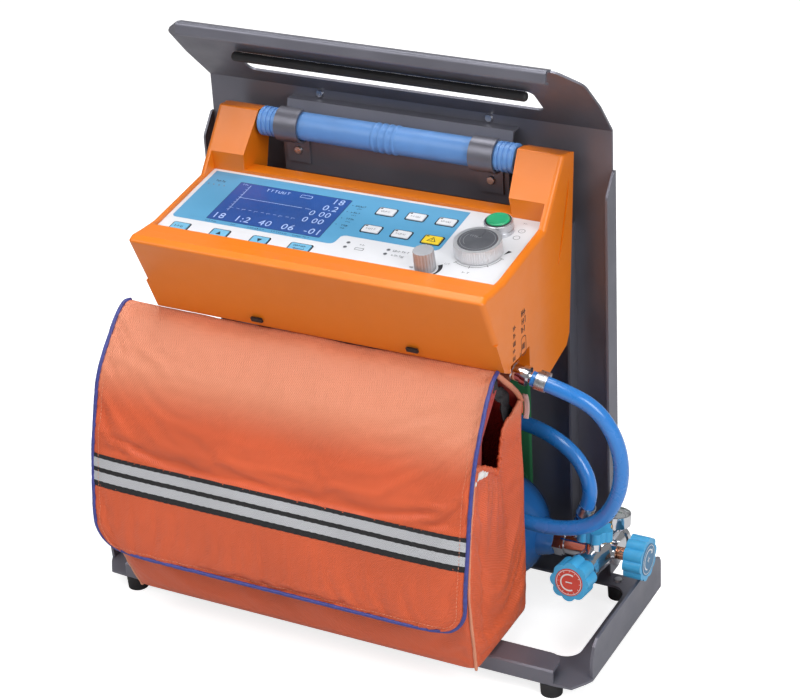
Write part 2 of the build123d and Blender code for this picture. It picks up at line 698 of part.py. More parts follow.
# ================================================================ GAS CYLINDER
with BuildPart() as gas_cylinder:
    with BuildSketch(Plane(origin=(0, CYL_Y, CYL_Z), x_dir=(1, 0, 0), z_dir=(0, -1, 0))):
        with BuildLine():
            Line((-150, 0), (-150, 34))
            RadiusArc((-150, 34), (-134, CYL_R), 16.0)
            Line((-134, CYL_R), (106, CYL_R))
            ThreePointArc((106, CYL_R), (133, 37.5), (147, 17.5))
            Polyline((147, 17.5), (157, 15), (161, 13), (161, 0), (-150, 0))
        make_face()
    revolve(axis=Axis((0, CYL_Y, CYL_Z), (1, 0, 0)))
save(gas_cylinder, "gas_cylinder")

# ---- webbing straps around the cylinder, tails run up the channel
with BuildPart() as cylinder_straps:
    for sx in (-101, 101):
        with BuildSketch(cross_plane(sx - 12.5, CYL_Y, CYL_Z)):
            Circle(CYL_R + 2.0)
            Circle(CYL_R + 0.3, mode=Mode.SUBTRACT)
        extrude(amount=25)
        with BuildSketch(side_plane(sx - 12.5)):
            with BuildLine():
                Polyline((-2.1, CYL_Z), (-3.9, CYL_Z), (-3.9, 238), (-2.1, 238), close=True)
            make_face()
        extrude(amount=25)
save(cylinder_straps, "cylinder_straps")

# ---- valve nut and reducer body
with BuildPart() as valve_nut:
    with BuildSketch(cross_plane(161, CYL_Y, CYL_Z)):
        RegularPolygon(13.6, 6)
    extrude(amount=7)
    with BuildSketch(cross_plane(168, CYL_Y, CYL_Z)):
        Circle(12.4)
    extrude(amount=3)
save(valve_nut, "valve_nut")

out_dir = (0.36, 0, 0.933)


def outlet_plane(s):
    return Plane(origin=(178.0 + s * 0.36, CYL_Y, CYL_Z + 9.2 + s * 0.933), x_dir=(0, 1, 0),
                 z_dir=out_dir)


with BuildPart() as reducer_body:
    with BuildSketch(cross_plane(171, CYL_Y, CYL_Z)):
        Circle(11.0)
    extrude(amount=48)
    with BuildSketch(reg_plane(REG_X, -30)):
        Circle(12.2)
    extrude(amount=84)
    with BuildSketch(reg_plane(REG_X, -30)):
        Circle(13.4)
    extrude(amount=6)
    with BuildSketch(reg_plane(REG_X, 44)):
        Circle(13.6)
    extrude(amount=7)
    with BuildSketch(reg_plane(REG_X, 26, 8, "up")):
        Circle(7.0)
    extrude(amount=9)
    with BuildSketch(reg_plane(REG_X, -20, 8, "up")):
        Circle(5.5)
    extrude(amount=9)
    with BuildSketch(reg_plane(REG_X + 1, 2, 8, "up")):
        Circle(5.0)
    extrude(amount=6)
    with BuildSketch(outlet_plane(-4.0)):
        Circle(6.0)
    extrude(amount=9.0)
    # bores for the three spindles
    with BuildSketch(cross_plane(205, CYL_Y, CYL_Z)):
        Circle(4.06)
    extrude(amount=16, mode=Mode.SUBTRACT)
    with BuildSketch(reg_plane(REG_X, 40)):
        Circle(4.06)
    extrude(amount=16, mode=Mode.SUBTRACT)
    with BuildSketch(reg_plane(REG_X, 26, 9, "up")):
        Circle(3.06)
    extrude(amount=10, mode=Mode.SUBTRACT)
save(reducer_body, "reducer_body")

with BuildPart() as outlet_fitting:
    with BuildSketch(outlet_plane(5.0)):
        RegularPolygon(8.0, 6)
    extrude(amount=8.0)
    with BuildSketch(outlet_plane(13.0)):
        Circle(6.4)
    extrude(amount=5.0)
    with BuildSketch(outlet_plane(18.0)):
        Circle(4.4)
    extrude(amount=2.9)
save(outlet_fitting, "outlet_fitting")

with BuildPart() as relief_valve:
    with BuildSketch(reg_plane(REG_X + 1, 2, 14, "up")):
        RegularPolygon(5.6, 6)
    extrude(amount=4)
    with BuildSketch(reg_plane(REG_X + 1, 2, 18, "up")):
        Circle(4.0)
    extrude(amount=5)
save(relief_valve, "relief_valve")


# ---- hand wheels
def wheel_sketch(r_root, lobes, r_lobe):
    Circle(r_root)
    with PolarLocations(r_root - r_lobe * 0.35, lobes):
        Circle(r_lobe)


with BuildPart() as valve_wheel:
    with BuildSketch(cross_plane(229.5, CYL_Y, CYL_Z)):
        wheel_sketch(15.6, 10, 6.1)
    extrude(amount=16.5)
    with BuildSketch(cross_plane(229.5, CYL_Y, CYL_Z)):
        Circle(4.0)
    extrude(amount=10, mode=Mode.SUBTRACT)
    with BuildSketch(cross_plane(244.8, CYL_Y, CYL_Z)):
        Circle(14.4)
    extrude(amount=4, mode=Mode.SUBTRACT)
save(valve_wheel, "valve_wheel")

with BuildPart() as valve_wheel_disc:
    with BuildSketch(cross_plane(244.8, CYL_Y, CYL_Z)):
        Circle(14.3)
    extrude(amount=1.6)
save(valve_wheel_disc, "valve_wheel_disc")

with BuildPart() as valve_spindle:
    with BuildSketch(cross_plane(206, CYL_Y, CYL_Z)):
        Circle(4.0)
    extrude(amount=33.5)
    with BuildSketch(cross_plane(219.5, CYL_Y, CYL_Z)):
        Circle(5.6)
    extrude(amount=9.5)
save(valve_spindle, "valve_spindle")

with BuildPart() as outlet_knob:
    with BuildSketch(reg_plane(REG_X, 57.5)):
        wheel_sketch(13.3, 8, 6.5)
    extrude(amount=19.5)
    with BuildSketch(reg_plane(REG_X, 57.5)):
        Circle(4.0)
    extrude(amount=12, mode=Mode.SUBTRACT)
    with BuildSketch(reg_plane(REG_X, 75.8)):
        Circle(12.4)
    extrude(amount=4, mode=Mode.SUBTRACT)
save(outlet_knob, "outlet_knob")

with BuildPart() as outlet_knob_disc:
    with BuildSketch(reg_plane(REG_X, 75.8)):
        Circle(12.3)
    extrude(amount=1.6)
save(outlet_knob_disc, "outlet_knob_disc")

with BuildPart() as outlet_spindle:
    with BuildSketch(reg_plane(REG_X, 41)):
        Circle(4.0)
    extrude(amount=28.5)
    with BuildSketch(reg_plane(REG_X, 54.3)):
        Circle(9.0)
    extrude(amount=3.0)
save(outlet_spindle, "outlet_spindle")

with BuildPart() as flow_knob:
    with BuildSketch(reg_plane(REG_X, 26, 21.5, "up")):
        wheel_sketch(13.6, 6, 5.0)
    extrude(amount=9.5)
    with BuildSketch(reg_plane(REG_X, 26, 9.8, "up")):
        Circle(3.0)
    extrude(amount=14.0)
save(flow_knob, "flow_knob")

# ---- pressure gauge
with BuildPart() as gauge_case:
    with BuildSketch(reg_plane(REG_X, -20, 17.0, "up")):
        Circle(14.6)
    extrude(amount=10.5)
    with BuildSketch(reg_plane(REG_X, -20, 19.0, "up")):
        Circle(13.2)
    extrude(amount=10, mode=Mode.SUBTRACT)
save(gauge_case, "gauge_case")

with BuildPart() as gauge_dial:
    with BuildSketch(reg_plane(REG_X, -20, 19.0, "up")):
        Circle(13.1)
        Circle(1.06, mode=Mode.SUBTRACT)
    extrude(amount=4.0)
save(gauge_dial, "gauge_dial")

with BuildPart() as gauge_pointer:
    with BuildSketch(reg_plane(REG_X, -20, 23.3, "up")):
        Circle(1.8)
        with Locations((0, -4.0)):
            Rectangle(0.9, 11.0)
    extrude(amount=0.7)
    with BuildSketch(reg_plane(REG_X, -20, 20.0, "up")):
        Circle(1.0)
    extrude(amount=3.6)
save(gauge_pointer, "gauge_pointer")

with BuildPart() as gauge_lens:
    with BuildSketch(reg_plane(REG_X, -20, 25.2, "up")):
        Circle(13.1)
    extrude(amount=2.4)
save(gauge_lens, "gauge_lens")

# ================================================================ BAG
BAG_L, BAG_R = -196.0, 158.0
body_side = [(-212.0, STEP_TOP + 0.4), (-219.0, 60.0), (-224.0, 110.0), (-217.0, 165.0),
             (-202.0, 212.0), (-198.0, 214.0), (-172.0, 204.0), (-140.0, 190.0), (-122.0, 204.0),
             (-110.0, 232.0), (-109.0, 120.0), (-110.0, 40.0), (-160.0, STEP_TOP + 0.4)]
body_room = [(-207.0, STEP_TOP + 6), (-214.0, 61.0), (-219.0, 110.0), (-212.0, 164.0),
             (-198.0, 250.0), (-114.5, 250.0), (-114.0, 120.0), (-114.5, 45.0),
             (-160.0, STEP_TOP + 6)]
with BuildPart() as bag_body:
    with BuildSketch(side_plane(BAG_L)):
        with BuildLine():
            Polyline(*body_side, close=True)
        make_face()
    extrude(amount=BAG_R - BAG_L)
    corners = bag_body.edges().filter_by(
        lambda e: abs(e.center().X - BAG_L) < 0.01 and e.center().Y < -206 and e.center().Z < 200)
    with BuildSketch(side_plane(BAG_L + 5)):
        with BuildLine():
            Polyline(*body_room, close=True)
        make_face()
    extrude(amount=BAG_R - BAG_L - 10, mode=Mode.SUBTRACT)
    # rear panel carried on over the top up to the ridge
    with BuildSketch(side_plane(BAG_L)):
        with BuildLine():
            Polyline((-113.5, 228.0), (-108.9, 230.0), (-125.0, 256.0), (-140.0, 270.0),
                     (-153.5, 281.5), (-155.5, 277.8), (-142.5, 266.6), (-128.0, 252.8), close=True)
        make_face()
    extrude(amount=BAG_R - BAG_L)
save(bag_body, "bag_body")

flap_side = [(-156.5, 284.0), (-160.0, 288.5), (-166.0, 287.5), (-177.0, 279.5), (-190.0, 263.0),
             (-203.0, 242.5), (-212.0, 219.0), (-219.5, 192.0), (-228.0, 150.0), (-233.5, 118.0),
             (-235.0, 95.0), (-234.0, 77.0), (-230.5, 77.0), (-231.3, 95.0), (-229.8, 118.0),
             (-224.2, 150.0), (-215.8, 191.0), (-208.4, 218.0), (-199.6, 240.8), (-187.0, 260.5),
             (-174.4, 276.6), (-164.5, 283.6)]
with BuildPart() as bag_flap:
    with BuildSketch(side_plane(BAG_L - 5)):
        with BuildLine():
            Polyline(*flap_side, close=True)
        make_face()
    extrude(amount=BAG_R - BAG_L + 5)
    low = bag_flap.edges().filter_by(Axis.Y).filter_by(lambda e: e.center().Z < 78)
    fillet(low, 28.0)
save(bag_flap, "bag_flap")

# ================================================================ HOSE
ROUTE = [(173.62, -127.0, 269.01), (199.0, -125.0, 262.9), (228.0, -117.0, 246.0),
         (243.0, -108.0, 208.0), (241.0, -103.0, 164.0), (222.0, -99.5, 127.0), (188.0, -97.5, 110.0),
         (148.0, -96.5, 108.0), (106.0, -94.5, 116.5), (68.0, -91.5, 120.0), (30.4, -88.0, 121.0),
         (5.2, -78.9, 136.8), (-4.5, -64.0, 162.6), (5.2, -49.2, 188.3), (30.4, -40.0, 204.1),
         (64.0, -39.5, 202.2), (90.0, -40.0, 186.5), (112.0, -41.3, 172.5), (138.0, -44.5, 172.0),
         (163.5, -51.5, 167.3), (180.96, -54.0, 155.6), (191.26, -55.5, 138.1), (192.94, -56.0, 117.92),
         (185.56, -56.0, 98.79)]


def turn_radii(points):
    radii = []
    for i in range(1, len(points) - 1):
        a = Vector(*points[i]) - Vector(*points[i - 1])
        b = Vector(*points[i + 1]) - Vector(*points[i])
        turn = radians(a.get_angle(b))
        radii.append(0.45 * min(a.length, b.length) / tan(turn / 2))
        print("turn %d  %.1f deg  radius %.1f  runs %.1f %.1f" % (
            i, a.get_angle(b), radii[-1], a.length, b.length))
    return radii


RADII = turn_radii(ROUTE)
with BuildPart() as gas_hose:
    with BuildLine() as hose_line:
        FilletPolyline(*ROUTE, radius=RADII)
    start = Vector(*ROUTE[1]) - Vector(*ROUTE[0])
    with BuildSketch(Plane(origin=ROUTE[0], z_dir=start)):
        Circle(HOSE_R)
    sweep()
hose_length = sum(e.length for e in hose_line.line.edges())
print("hose length %.1f  volume %.0f  section x length %.0f" % (
    hose_length, gas_hose.part.volume, 3.14159265 * HOSE_R ** 2 * hose_length))
save(gas_hose, "gas_hose")

# ---- worm clamps on the hose ends
with BuildPart() as hose_clamps:
    for origin, toward in ((ROUTE[0], ROUTE[1]), (ROUTE[-1], ROUTE[-2])):
        d = Vector(*toward) - Vector(*origin)
        d = d.normalized()
        o = Vector(*origin) + d * 4.0
        with BuildSketch(Plane(origin=o, x_dir=(0, 1, 0), z_dir=d)):
            Circle(HOSE_R + 1.1)
            with Locations((HOSE_R + 2.6, 0)):
                Rectangle(5.0, 7.0)
            Circle(HOSE_R + 0.05, mode=Mode.SUBTRACT)
        extrude(amount=9.0)
save(hose_clamps, "hose_clamps")
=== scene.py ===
import math
import random
import bpy
import bmesh
from mathutils import Matrix, Vector, noise
from mathutils.kdtree import KDTree


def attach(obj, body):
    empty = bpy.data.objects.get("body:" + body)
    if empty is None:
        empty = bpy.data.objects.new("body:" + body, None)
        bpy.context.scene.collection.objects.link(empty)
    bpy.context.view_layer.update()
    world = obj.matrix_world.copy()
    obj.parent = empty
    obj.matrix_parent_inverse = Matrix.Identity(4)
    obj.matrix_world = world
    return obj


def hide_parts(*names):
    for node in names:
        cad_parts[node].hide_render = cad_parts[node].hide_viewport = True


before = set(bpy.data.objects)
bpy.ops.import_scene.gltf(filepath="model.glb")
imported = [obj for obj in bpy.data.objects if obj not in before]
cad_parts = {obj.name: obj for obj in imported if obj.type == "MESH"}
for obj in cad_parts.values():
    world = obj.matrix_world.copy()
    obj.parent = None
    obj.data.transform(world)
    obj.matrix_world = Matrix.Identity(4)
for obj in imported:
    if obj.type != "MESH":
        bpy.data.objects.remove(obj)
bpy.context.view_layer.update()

DX, DY = -2.95, 116.5          # mm from the rack's own centre to the frame's
sin, cos, pi, rad = math.sin, math.cos, math.pi, math.radians
rng = random.Random(7)


def P(x, y, z):
    # a point given in mm from the rack's centre
    return Vector(((x + DX) / 1000, (y + DY) / 1000, z / 1000))


def link(o):
    bpy.context.scene.collection.objects.link(o)
    return o


# ---- camera
az, el, roll = rad(28.736), rad(27.815), rad(-3.254)
back = Vector((sin(az) * cos(el), -cos(az) * cos(el), sin(el)))
right = Vector((0, 0, 1)).cross(back).normalized()
up = back.cross(right)
cam_right = cos(roll) * right + sin(roll) * up
cam_up = cos(roll) * up - sin(roll) * right
cam_data = bpy.data.cameras.new("camera")
cam_data.sensor_width = 36
cam_data.lens = 103.53
cam_data.clip_end = 30
camera = bpy.data.objects.new("camera", cam_data)
link(camera)
m = Matrix((cam_right, cam_up, back)).transposed().to_4x4()
m.translation = P(867.35, -1611.84, 1164.7)
camera.matrix_world = m
bpy.context.scene.camera = camera


# ---- materials
class Mat:
    def __init__(self, name, colour, rough=0.5, metal=0.0, **sockets):
        self.m = bpy.data.materials.new(name)
        self.m.use_nodes = True
        self.n = self.m.node_tree.nodes
        self.l = self.m.node_tree.links
        self.b = self.n["Principled BSDF"]
        self.b.inputs["Base Color"].default_value = (*colour, 1)
        self.b.inputs["Roughness"].default_value = rough
        self.b.inputs["Metallic"].default_value = metal
        for key, value in sockets.items():
            self.b.inputs[key.replace("_", " ")].default_value = value
        self.colour = colour
        self.co = self.n.new("ShaderNodeTexCoord").outputs["Object"]
        self.height = None
        self.tint = None

    def math(self, op, a, b=None):
        node = self.n.new("ShaderNodeMath")
        node.operation = op
        for i, v in enumerate((a, b)):
            if v is None:
                continue
            if isinstance(v, (int, float)):
                node.inputs[i].default_value = v
            else:
                self.l.new(v, node.inputs[i])
        return node.outputs[0]

    def mapped(self, scale):
        node = self.n.new("ShaderNodeMapping")
        node.inputs["Scale"].default_value = scale
        self.l.new(self.co, node.inputs["Vector"])
        return node.outputs[0]

    def noise(self, scale, detail=4, stretch=None):
        node = self.n.new("ShaderNodeTexNoise")
        node.inputs["Scale"].default_value = scale
        node.inputs["Detail"].default_value = detail
        self.l.new(self.mapped(stretch) if stretch else self.co, node.inputs["Vector"])
        return node.outputs["Fac"]

    def ramp(self, fac, stops):
        node = self.n.new("ShaderNodeValToRGB")
        e = node.color_ramp.elements
        while len(e) < len(stops):
            e.new(0.5)
        for i, (pos, c) in enumerate(stops):
            e[i].position = pos
            e[i].color = (*c, 1) if len(c) == 3 else c
        self.l.new(fac, node.inputs["Fac"])
        return node.outputs["Color"]

    def vary(self, scale, amount):
        c = self.colour
        lo = [max(0, v * (1 - amount)) for v in c]
        hi = [min(1, v * (1 + amount)) for v in c]
        self.tint = self.ramp(self.noise(scale), [(0.32, lo), (0.68, hi)])
        self.l.new(self.tint, self.b.inputs["Base Color"])
        return self

    # painted light: mixes the colour towards a paler tone with height, a painted sheen of the overhead lamps on
    # upward faces
    def fade(self, z_low, z_high, tone, amount):
        sep = self.n.new("ShaderNodeSeparateXYZ")
        self.l.new(self.co, sep.inputs[0])
        rise = self.n.new("ShaderNodeMapRange")
        rise.interpolation_type = "SMOOTHSTEP"
        rise.inputs["From Min"].default_value = z_low
        rise.inputs["From Max"].default_value = z_high
        rise.inputs["To Max"].default_value = amount
        self.l.new(sep.outputs[2], rise.inputs["Value"])
        mix = self.n.new("ShaderNodeMix")
        mix.data_type = "RGBA"
        self.l.new(rise.outputs[0], mix.inputs[0])
        self.l.new(self.tint, mix.inputs[6])
        mix.inputs[7].default_value = (*tone, 1)
        self.tint = mix.outputs[2]
        self.l.new(self.tint, self.b.inputs["Base Color"])
        return self

    def gloss(self, scale, lo, hi, stretch=None):
        node = self.n.new("ShaderNodeMapRange")
        node.inputs["From Min"].default_value = 0.3
        node.inputs["From Max"].default_value = 0.7
        node.inputs["To Min"].default_value = lo
        node.inputs["To Max"].default_value = hi
        self.l.new(self.noise(scale, 4, stretch), node.inputs["Value"])
        self.l.new(node.outputs[0], self.b.inputs["Roughness"])
        return self

    def bump(self, height, distance, strength=1.0):
        node = self.n.new("ShaderNodeBump")
        node.inputs["Distance"].default_value = distance
        node.inputs["Strength"].default_value = strength
        self.l.new(height, node.inputs["Height"])
        if self.height is not None:
            self.l.new(self.height, node.inputs["Normal"])
        self.height = node.outputs["Normal"]
        self.l.new(self.height, self.b.inputs["Normal"])
        return self

    def weave(self, period, distance, strength=0.6, painted_weave_shade=0.0):
        sep = self.n.new("ShaderNodeSeparateXYZ")
        self.l.new(self.co, sep.inputs[0])
        x, y, z = sep.outputs
        k = 2 * pi / period
        warp = self.math("ADD", x, self.math("MULTIPLY", y, 0.93))
        weft = self.math("SUBTRACT", z, self.math("MULTIPLY", y, 0.41))
        a = self.math("SINE", self.math("MULTIPLY", warp, k))
        b = self.math("SINE", self.math("MULTIPLY", weft, k))
        h = self.math("MULTIPLY", a, b)
        self.bump(h, distance, strength)
        # painted shade: the colour is darkened in the troughs of the weave
        if painted_weave_shade and self.tint is not None:
            mix = self.n.new("ShaderNodeMix")
            mix.data_type = "RGBA"
            mix.blend_type = "MULTIPLY"
            mix.inputs["Factor"].default_value = painted_weave_shade
            self.l.new(self.tint, mix.inputs[6])
            shade = self.ramp(self.math("MULTIPLY_ADD", h, 0.5), [(0.0, (0.45,) * 3), (1.0, (1.0,) * 3)])
            self.l.new(shade, mix.inputs[7])
            self.l.new(mix.outputs[2], self.b.inputs["Base Color"])
        return self


def noisy(mat, *layers):
    for scale, distance, strength in layers:
        mat.bump(mat.noise(scale, 3), distance, strength)
    return mat.m


def coated(name, colour, rough, coat=0.0, **k):
    return Mat(name, colour, rough, Coat_Weight=coat, Coat_Roughness=0.12, **k)


m_rack = noisy(Mat("rack_powder_coat", (0.18, 0.18, 0.215), 0.36, 0.55).vary(9, 0.10).gloss(30, 0.34, 0.50),
               (900, 0.00012, 0.35), (40, 0.0004, 0.12))
m_orange = noisy(coated("console_shell", (0.76, 0.185, 0.005), 0.36, 0.16).vary(6, 0.05).gloss(60, 0.30, 0.42),
                 (1400, 0.00006, 0.30), (55, 0.0003, 0.08))
m_white = noisy(coated("panel_white_film", (0.68, 0.69, 0.72), 0.42).vary(30, 0.015), (1200, 0.00004, 0.25))
m_print_blue = noisy(coated("panel_blue_print", (0.095, 0.33, 0.55), 0.40).vary(30, 0.02), (1200, 0.00004, 0.25))
m_lcd = noisy(Mat("lcd_glass", (0.020, 0.080, 0.31), 0.30, Coat_Weight=0.3, Coat_Roughness=0.05).vary(18, 0.10),
              (300, 0.00002, 0.1))
m_digit = noisy(Mat("lcd_digit", (0.42, 0.55, 0.86), 0.4).vary(80, 0.05), (500, 0.00002, 0.1))
m_ink = noisy(Mat("black_ink", (0.012, 0.012, 0.016), 0.45).vary(200, 0.2), (900, 0.00002, 0.2))
m_ink_grey = noisy(Mat("grey_ink", (0.20, 0.21, 0.23), 0.5).vary(200, 0.2), (900, 0.00002, 0.2))
m_key_blue = noisy(coated("key_blue_cap", (0.15, 0.42, 0.62), 0.45).vary(60, 0.05), (900, 0.00006, 0.3))
m_key_white = noisy(coated("key_white_cap", (0.70, 0.71, 0.74), 0.45).vary(60, 0.03), (900, 0.00006, 0.3))
m_key_yellow = noisy(coated("key_yellow_cap", (0.86, 0.62, 0.03), 0.45).vary(60, 0.05), (900, 0.00006, 0.3))
m_green = noisy(coated("switch_green_cap", (0.012, 0.36, 0.15), 0.30, 0.4).vary(70, 0.12), (300, 0.0001, 0.2))
m_silver = noisy(Mat("satin_aluminium", (0.62, 0.63, 0.66), 0.30, 0.9).gloss(160, 0.24, 0.40, (1, 1, 12)),
                 (1600, 0.00003, 0.3))
m_knurl = noisy(Mat("knurled_aluminium", (0.72, 0.73, 0.75), 0.36, 0.75).gloss(300, 0.28, 0.46),
                (1500, 0.0001, 0.5))
m_cap = noisy(Mat("dial_cap", (0.115, 0.12, 0.135), 0.40, 0.3).vary(70, 0.10).gloss(200, 0.34, 0.5),
              (1500, 0.00004, 0.3))
m_grey = noisy(Mat("small_dial_grey", (0.42, 0.43, 0.46), 0.38, 0.4).vary(80, 0.08), (1200, 0.00005, 0.3))
m_black = noisy(Mat("black_plastic", (0.018, 0.018, 0.022), 0.45).vary(60, 0.2), (900, 0.00008, 0.4))
m_rubber = noisy(Mat("black_rubber", (0.014, 0.014, 0.016), 0.62).vary(50, 0.25), (700, 0.0001, 0.5))
m_grip = noisy(coated("grip_blue_rubber", (0.125, 0.30, 0.66), 0.44, 0.1).vary(22, 0.09).gloss(90, 0.38, 0.52),
               (1000, 0.00008, 0.35), (60, 0.0003, 0.12))
m_steel = noisy(Mat("zinc_steel", (0.56, 0.57, 0.60), 0.30, 1.0).vary(90, 0.12).gloss(200, 0.22, 0.42),
                (1200, 0.00005, 0.4))
m_chrome = noisy(Mat("chrome", (0.74, 0.75, 0.78), 0.10, 1.0).gloss(120, 0.07, 0.17), (300, 0.00004, 0.15))
m_brass = noisy(Mat("brass", (0.78, 0.53, 0.22), 0.26, 1.0).vary(80, 0.14).gloss(160, 0.2, 0.38),
                (900, 0.00005, 0.3))
m_copper = noisy(Mat("copper_stem", (0.74, 0.36, 0.22), 0.26, 1.0).vary(80, 0.14), (900, 0.00005, 0.3))
m_wheel = noisy(coated("wheel_blue", (0.045, 0.36, 0.66), 0.36, 0.2).vary(40, 0.10).gloss(150, 0.30, 0.45),
                (900, 0.00010, 0.35), (120, 0.0002, 0.15))
m_red = noisy(coated("label_red", (0.56, 0.055, 0.035), 0.40).vary(60, 0.12), (600, 0.00004, 0.2))
m_navy = noisy(coated("label_navy", (0.045, 0.17, 0.32), 0.40).vary(60, 0.12), (600, 0.00004, 0.2))
m_label = noisy(Mat("label_print", (0.72, 0.73, 0.74), 0.45).vary(90, 0.05), (600, 0.00003, 0.2))
m_cyl = noisy(coated("cylinder_lacquer", (0.022, 0.17, 0.52), 0.26, 0.5).vary(14, 0.10), (60, 0.0004, 0.15))
m_hose = noisy(coated("hose_blue", (0.022, 0.20, 0.60), 0.26, 0.45).vary(16, 0.10).gloss(60, 0.20, 0.34),
               (700, 0.00008, 0.25), (35, 0.0006, 0.15))
m_board = noisy(Mat("solder_mask", (0.012, 0.12, 0.045), 0.35).vary(300, 0.35), (600, 0.0001, 0.3))
m_wrap = noisy(Mat("battery_wrap", (0.03, 0.03, 0.04), 0.35).vary(40, 0.2), (60, 0.0004, 0.3))
m_alu = noisy(Mat("machined_aluminium", (0.58, 0.59, 0.61), 0.32, 1.0).gloss(300, 0.2, 0.42, (1, 8, 1)),
              (1500, 0.00004, 0.4))
m_module = noisy(Mat("display_module", (0.02, 0.05, 0.14), 0.3).vary(40, 0.2), (200, 0.0001, 0.2))
m_glass = noisy(Mat("gauge_glass", (0.9, 0.92, 0.94), 0.04, Transmission_Weight=1.0, IOR=1.45).vary(60, 0.02),
                (40, 0.0002, 0.1))
m_label_dim = noisy(Mat("cap_print", (0.30, 0.31, 0.33), 0.45).vary(90, 0.05), (600, 0.00003, 0.2))
m_face = noisy(Mat("gauge_face", (0.78, 0.78, 0.76), 0.5).vary(60, 0.04), (500, 0.00004, 0.2))


def fabric(name, colour, rough=0.58, fold=0.0016):
    lit = max(colour) > 0.3
    f = Mat(name, colour, rough, Sheen_Weight=0.10 if lit else 0.0, Sheen_Roughness=0.45,
            Coat_Weight=0.35 if lit else 0.0, Coat_Roughness=0.42)
    f.b.inputs["Sheen Tint"].default_value = (1.0, 0.8, 0.7, 1)
    f.vary(11, 0.10)
    if name == "bag_fabric":
        # painted sheen: paler where the bag turns to face upwards, standing in for the overhead lamps' gloss on
        # the fabric
        f.fade(0.205, 0.252, (0.76, 0.29, 0.16), 0.8)
    f.weave(0.0021, 0.00035, 0.55, 0.16)
    return noisy(f, (26, fold, 0.35), (140, 0.0004, 0.30), (2400, 0.0001, 0.25))


m_bag = fabric("bag_fabric", (0.72, 0.105, 0.024))
m_lining = fabric("bag_lining", (0.46, 0.022, 0.015), 0.75)
m_binding = fabric("bag_binding", (0.78, 0.30, 0.17), 0.6, 0.0004)
m_piping = noisy(Mat("piping_violet", (0.048, 0.058, 0.26), 0.42).vary(300, 0.18), (1300, 0.0002, 0.6))
m_tape_black = fabric("tape_black", (0.012, 0.012, 0.014), 0.7, 0.0003)
m_tape_silver = fabric("tape_silver", (0.52, 0.53, 0.56), 0.42, 0.0003)
m_strap = fabric("strap_green", (0.025, 0.20, 0.075), 0.75, 0.0004)
m_inner_strap = fabric("inner_strap_black", (0.014, 0.014, 0.017), 0.55, 0.003)
m_tab = fabric("tab_pale", (0.75, 0.52, 0.50), 0.6, 0.0004)


# ---- mesh helpers
def mesh(name, verts, faces, mats, body="rack", smooth=True, ids=None):
    me = bpy.data.meshes.new(name)
    me.from_pydata([tuple(v) for v in verts], [], faces)
    for mt in (mats if isinstance(mats, list) else [mats]):
        me.materials.append(mt)
    if ids:
        for poly, i in zip(me.polygons, ids):
            poly.material_index = i
    for poly in me.polygons:
        poly.use_smooth = smooth
    o = bpy.data.objects.new(name, me)
    link(o)
    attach(o, body)
    return o


def apply(o, kind, **settings):
    mod = o.modifiers.new(kind.lower(), kind)
    for k, v in settings.items():
        setattr(mod, k, v)
    bpy.context.view_layer.update()
    dg = bpy.context.evaluated_depsgraph_get()
    new = bpy.data.meshes.new_from_object(o.evaluated_get(dg))
    old = o.data
    o.modifiers.clear()
    o.data = new
    bpy.data.meshes.remove(old)
    return o


def ring_faces(levels, n):
    # quads between closed rings of n points
    return [(k * n + i, k * n + (i + 1) % n, (k + 1) * n + (i + 1) % n, (k + 1) * n + i)
            for k in range(levels - 1) for i in range(n)]


def grid_faces(rows, cols, base=0, across=True):
    # quads of an open grid, wound along the row first, or along the column
    out = []
    for k in range(rows - 1):
        for j in range(cols - 1):
            a = base + k * cols + j
            q = (a, a + 1, a + cols + 1, a + cols)
            out.append(q if across else (q[0], q[3], q[2], q[1]))
    return out


def tube(name, points, radius, mat, body="rack", sides=10, flat=1.0, wobble=0.0):
    pts = [Vector(p) for p in points]
    n = len(pts)
    verts = []
    normal = None
    for i, p in enumerate(pts):
        a = pts[max(0, i - 1)]
        b = pts[min(n - 1, i + 1)]
        d = (b - a).normalized()
        if normal is None:
            normal = d.orthogonal().normalized()
        normal = (normal - normal.dot(d) * d).normalized()
        side = d.cross(normal)
        r = radius * (1 + wobble * noise.noise(p * 300))
        for s in range(sides):
            t = 2 * pi * s / sides
            verts.append(p + r * cos(t) * normal + r * flat * sin(t) * side)
    faces = ring_faces(n, sides)
    faces.append(tuple(range(sides))[::-1])
    faces.append(tuple((n - 1) * sides + s for s in range(sides)))
    return mesh(name, verts, faces, mat, body)


def smooth_line(points, n):
    # n points evenly spread on a smooth line through the given ones
    pts = [Vector(p) for p in points]
    ext = [2 * pts[0] - pts[1]] + pts + [2 * pts[-1] - pts[-2]]
    dense = []
    for i in range(1, len(ext) - 2):
        p0, p1, p2, p3 = ext[i - 1:i + 3]
        for k in range(24):
            t = k / 24
            dense.append(0.5 * (2 * p1 + (p2 - p0) * t + (2 * p0 - 5 * p1 + 4 * p2 - p3) * t * t
                                + (3 * p1 - p0 - 3 * p2 + p3) * t ** 3))
    dense.append(pts[-1])
    s = [0.0]
    for a, b in zip(dense, dense[1:]):
        s.append(s[-1] + (b - a).length)
    out, j = [], 0
    for i in range(n):
        want = s[-1] * i / (n - 1)
        while j < len(s) - 2 and s[j + 1] < want:
            j += 1
        f = (want - s[j]) / max(1e-9, s[j + 1] - s[j])
        out.append(dense[j].lerp(dense[j + 1], min(1, f)))
    return out


def lathe(name, profile, plane, mat, n):
    # profile of (radius, height) turned about the plane's own axis
    verts = []
    for r, h in profile:
        for i in range(n):
            t = 2 * pi * i / n
            verts.append(plane(r * cos(t), r * sin(t), h))
    return mesh(name, verts, ring_faces(len(profile), n), mat)


# planes of the object: each returns a point for (across, along, lift) in mm
TILT = rad(7.73)               # the control panel's slope
REG = rad(9.3)                 # how far the reducer is turned about the valve's axis


def panel(x, a, lift=0.0):
    return P(x, -159.5 + a * cos(TILT) - lift * sin(TILT), 362.0 + a * sin(TILT) + lift * cos(TILT))


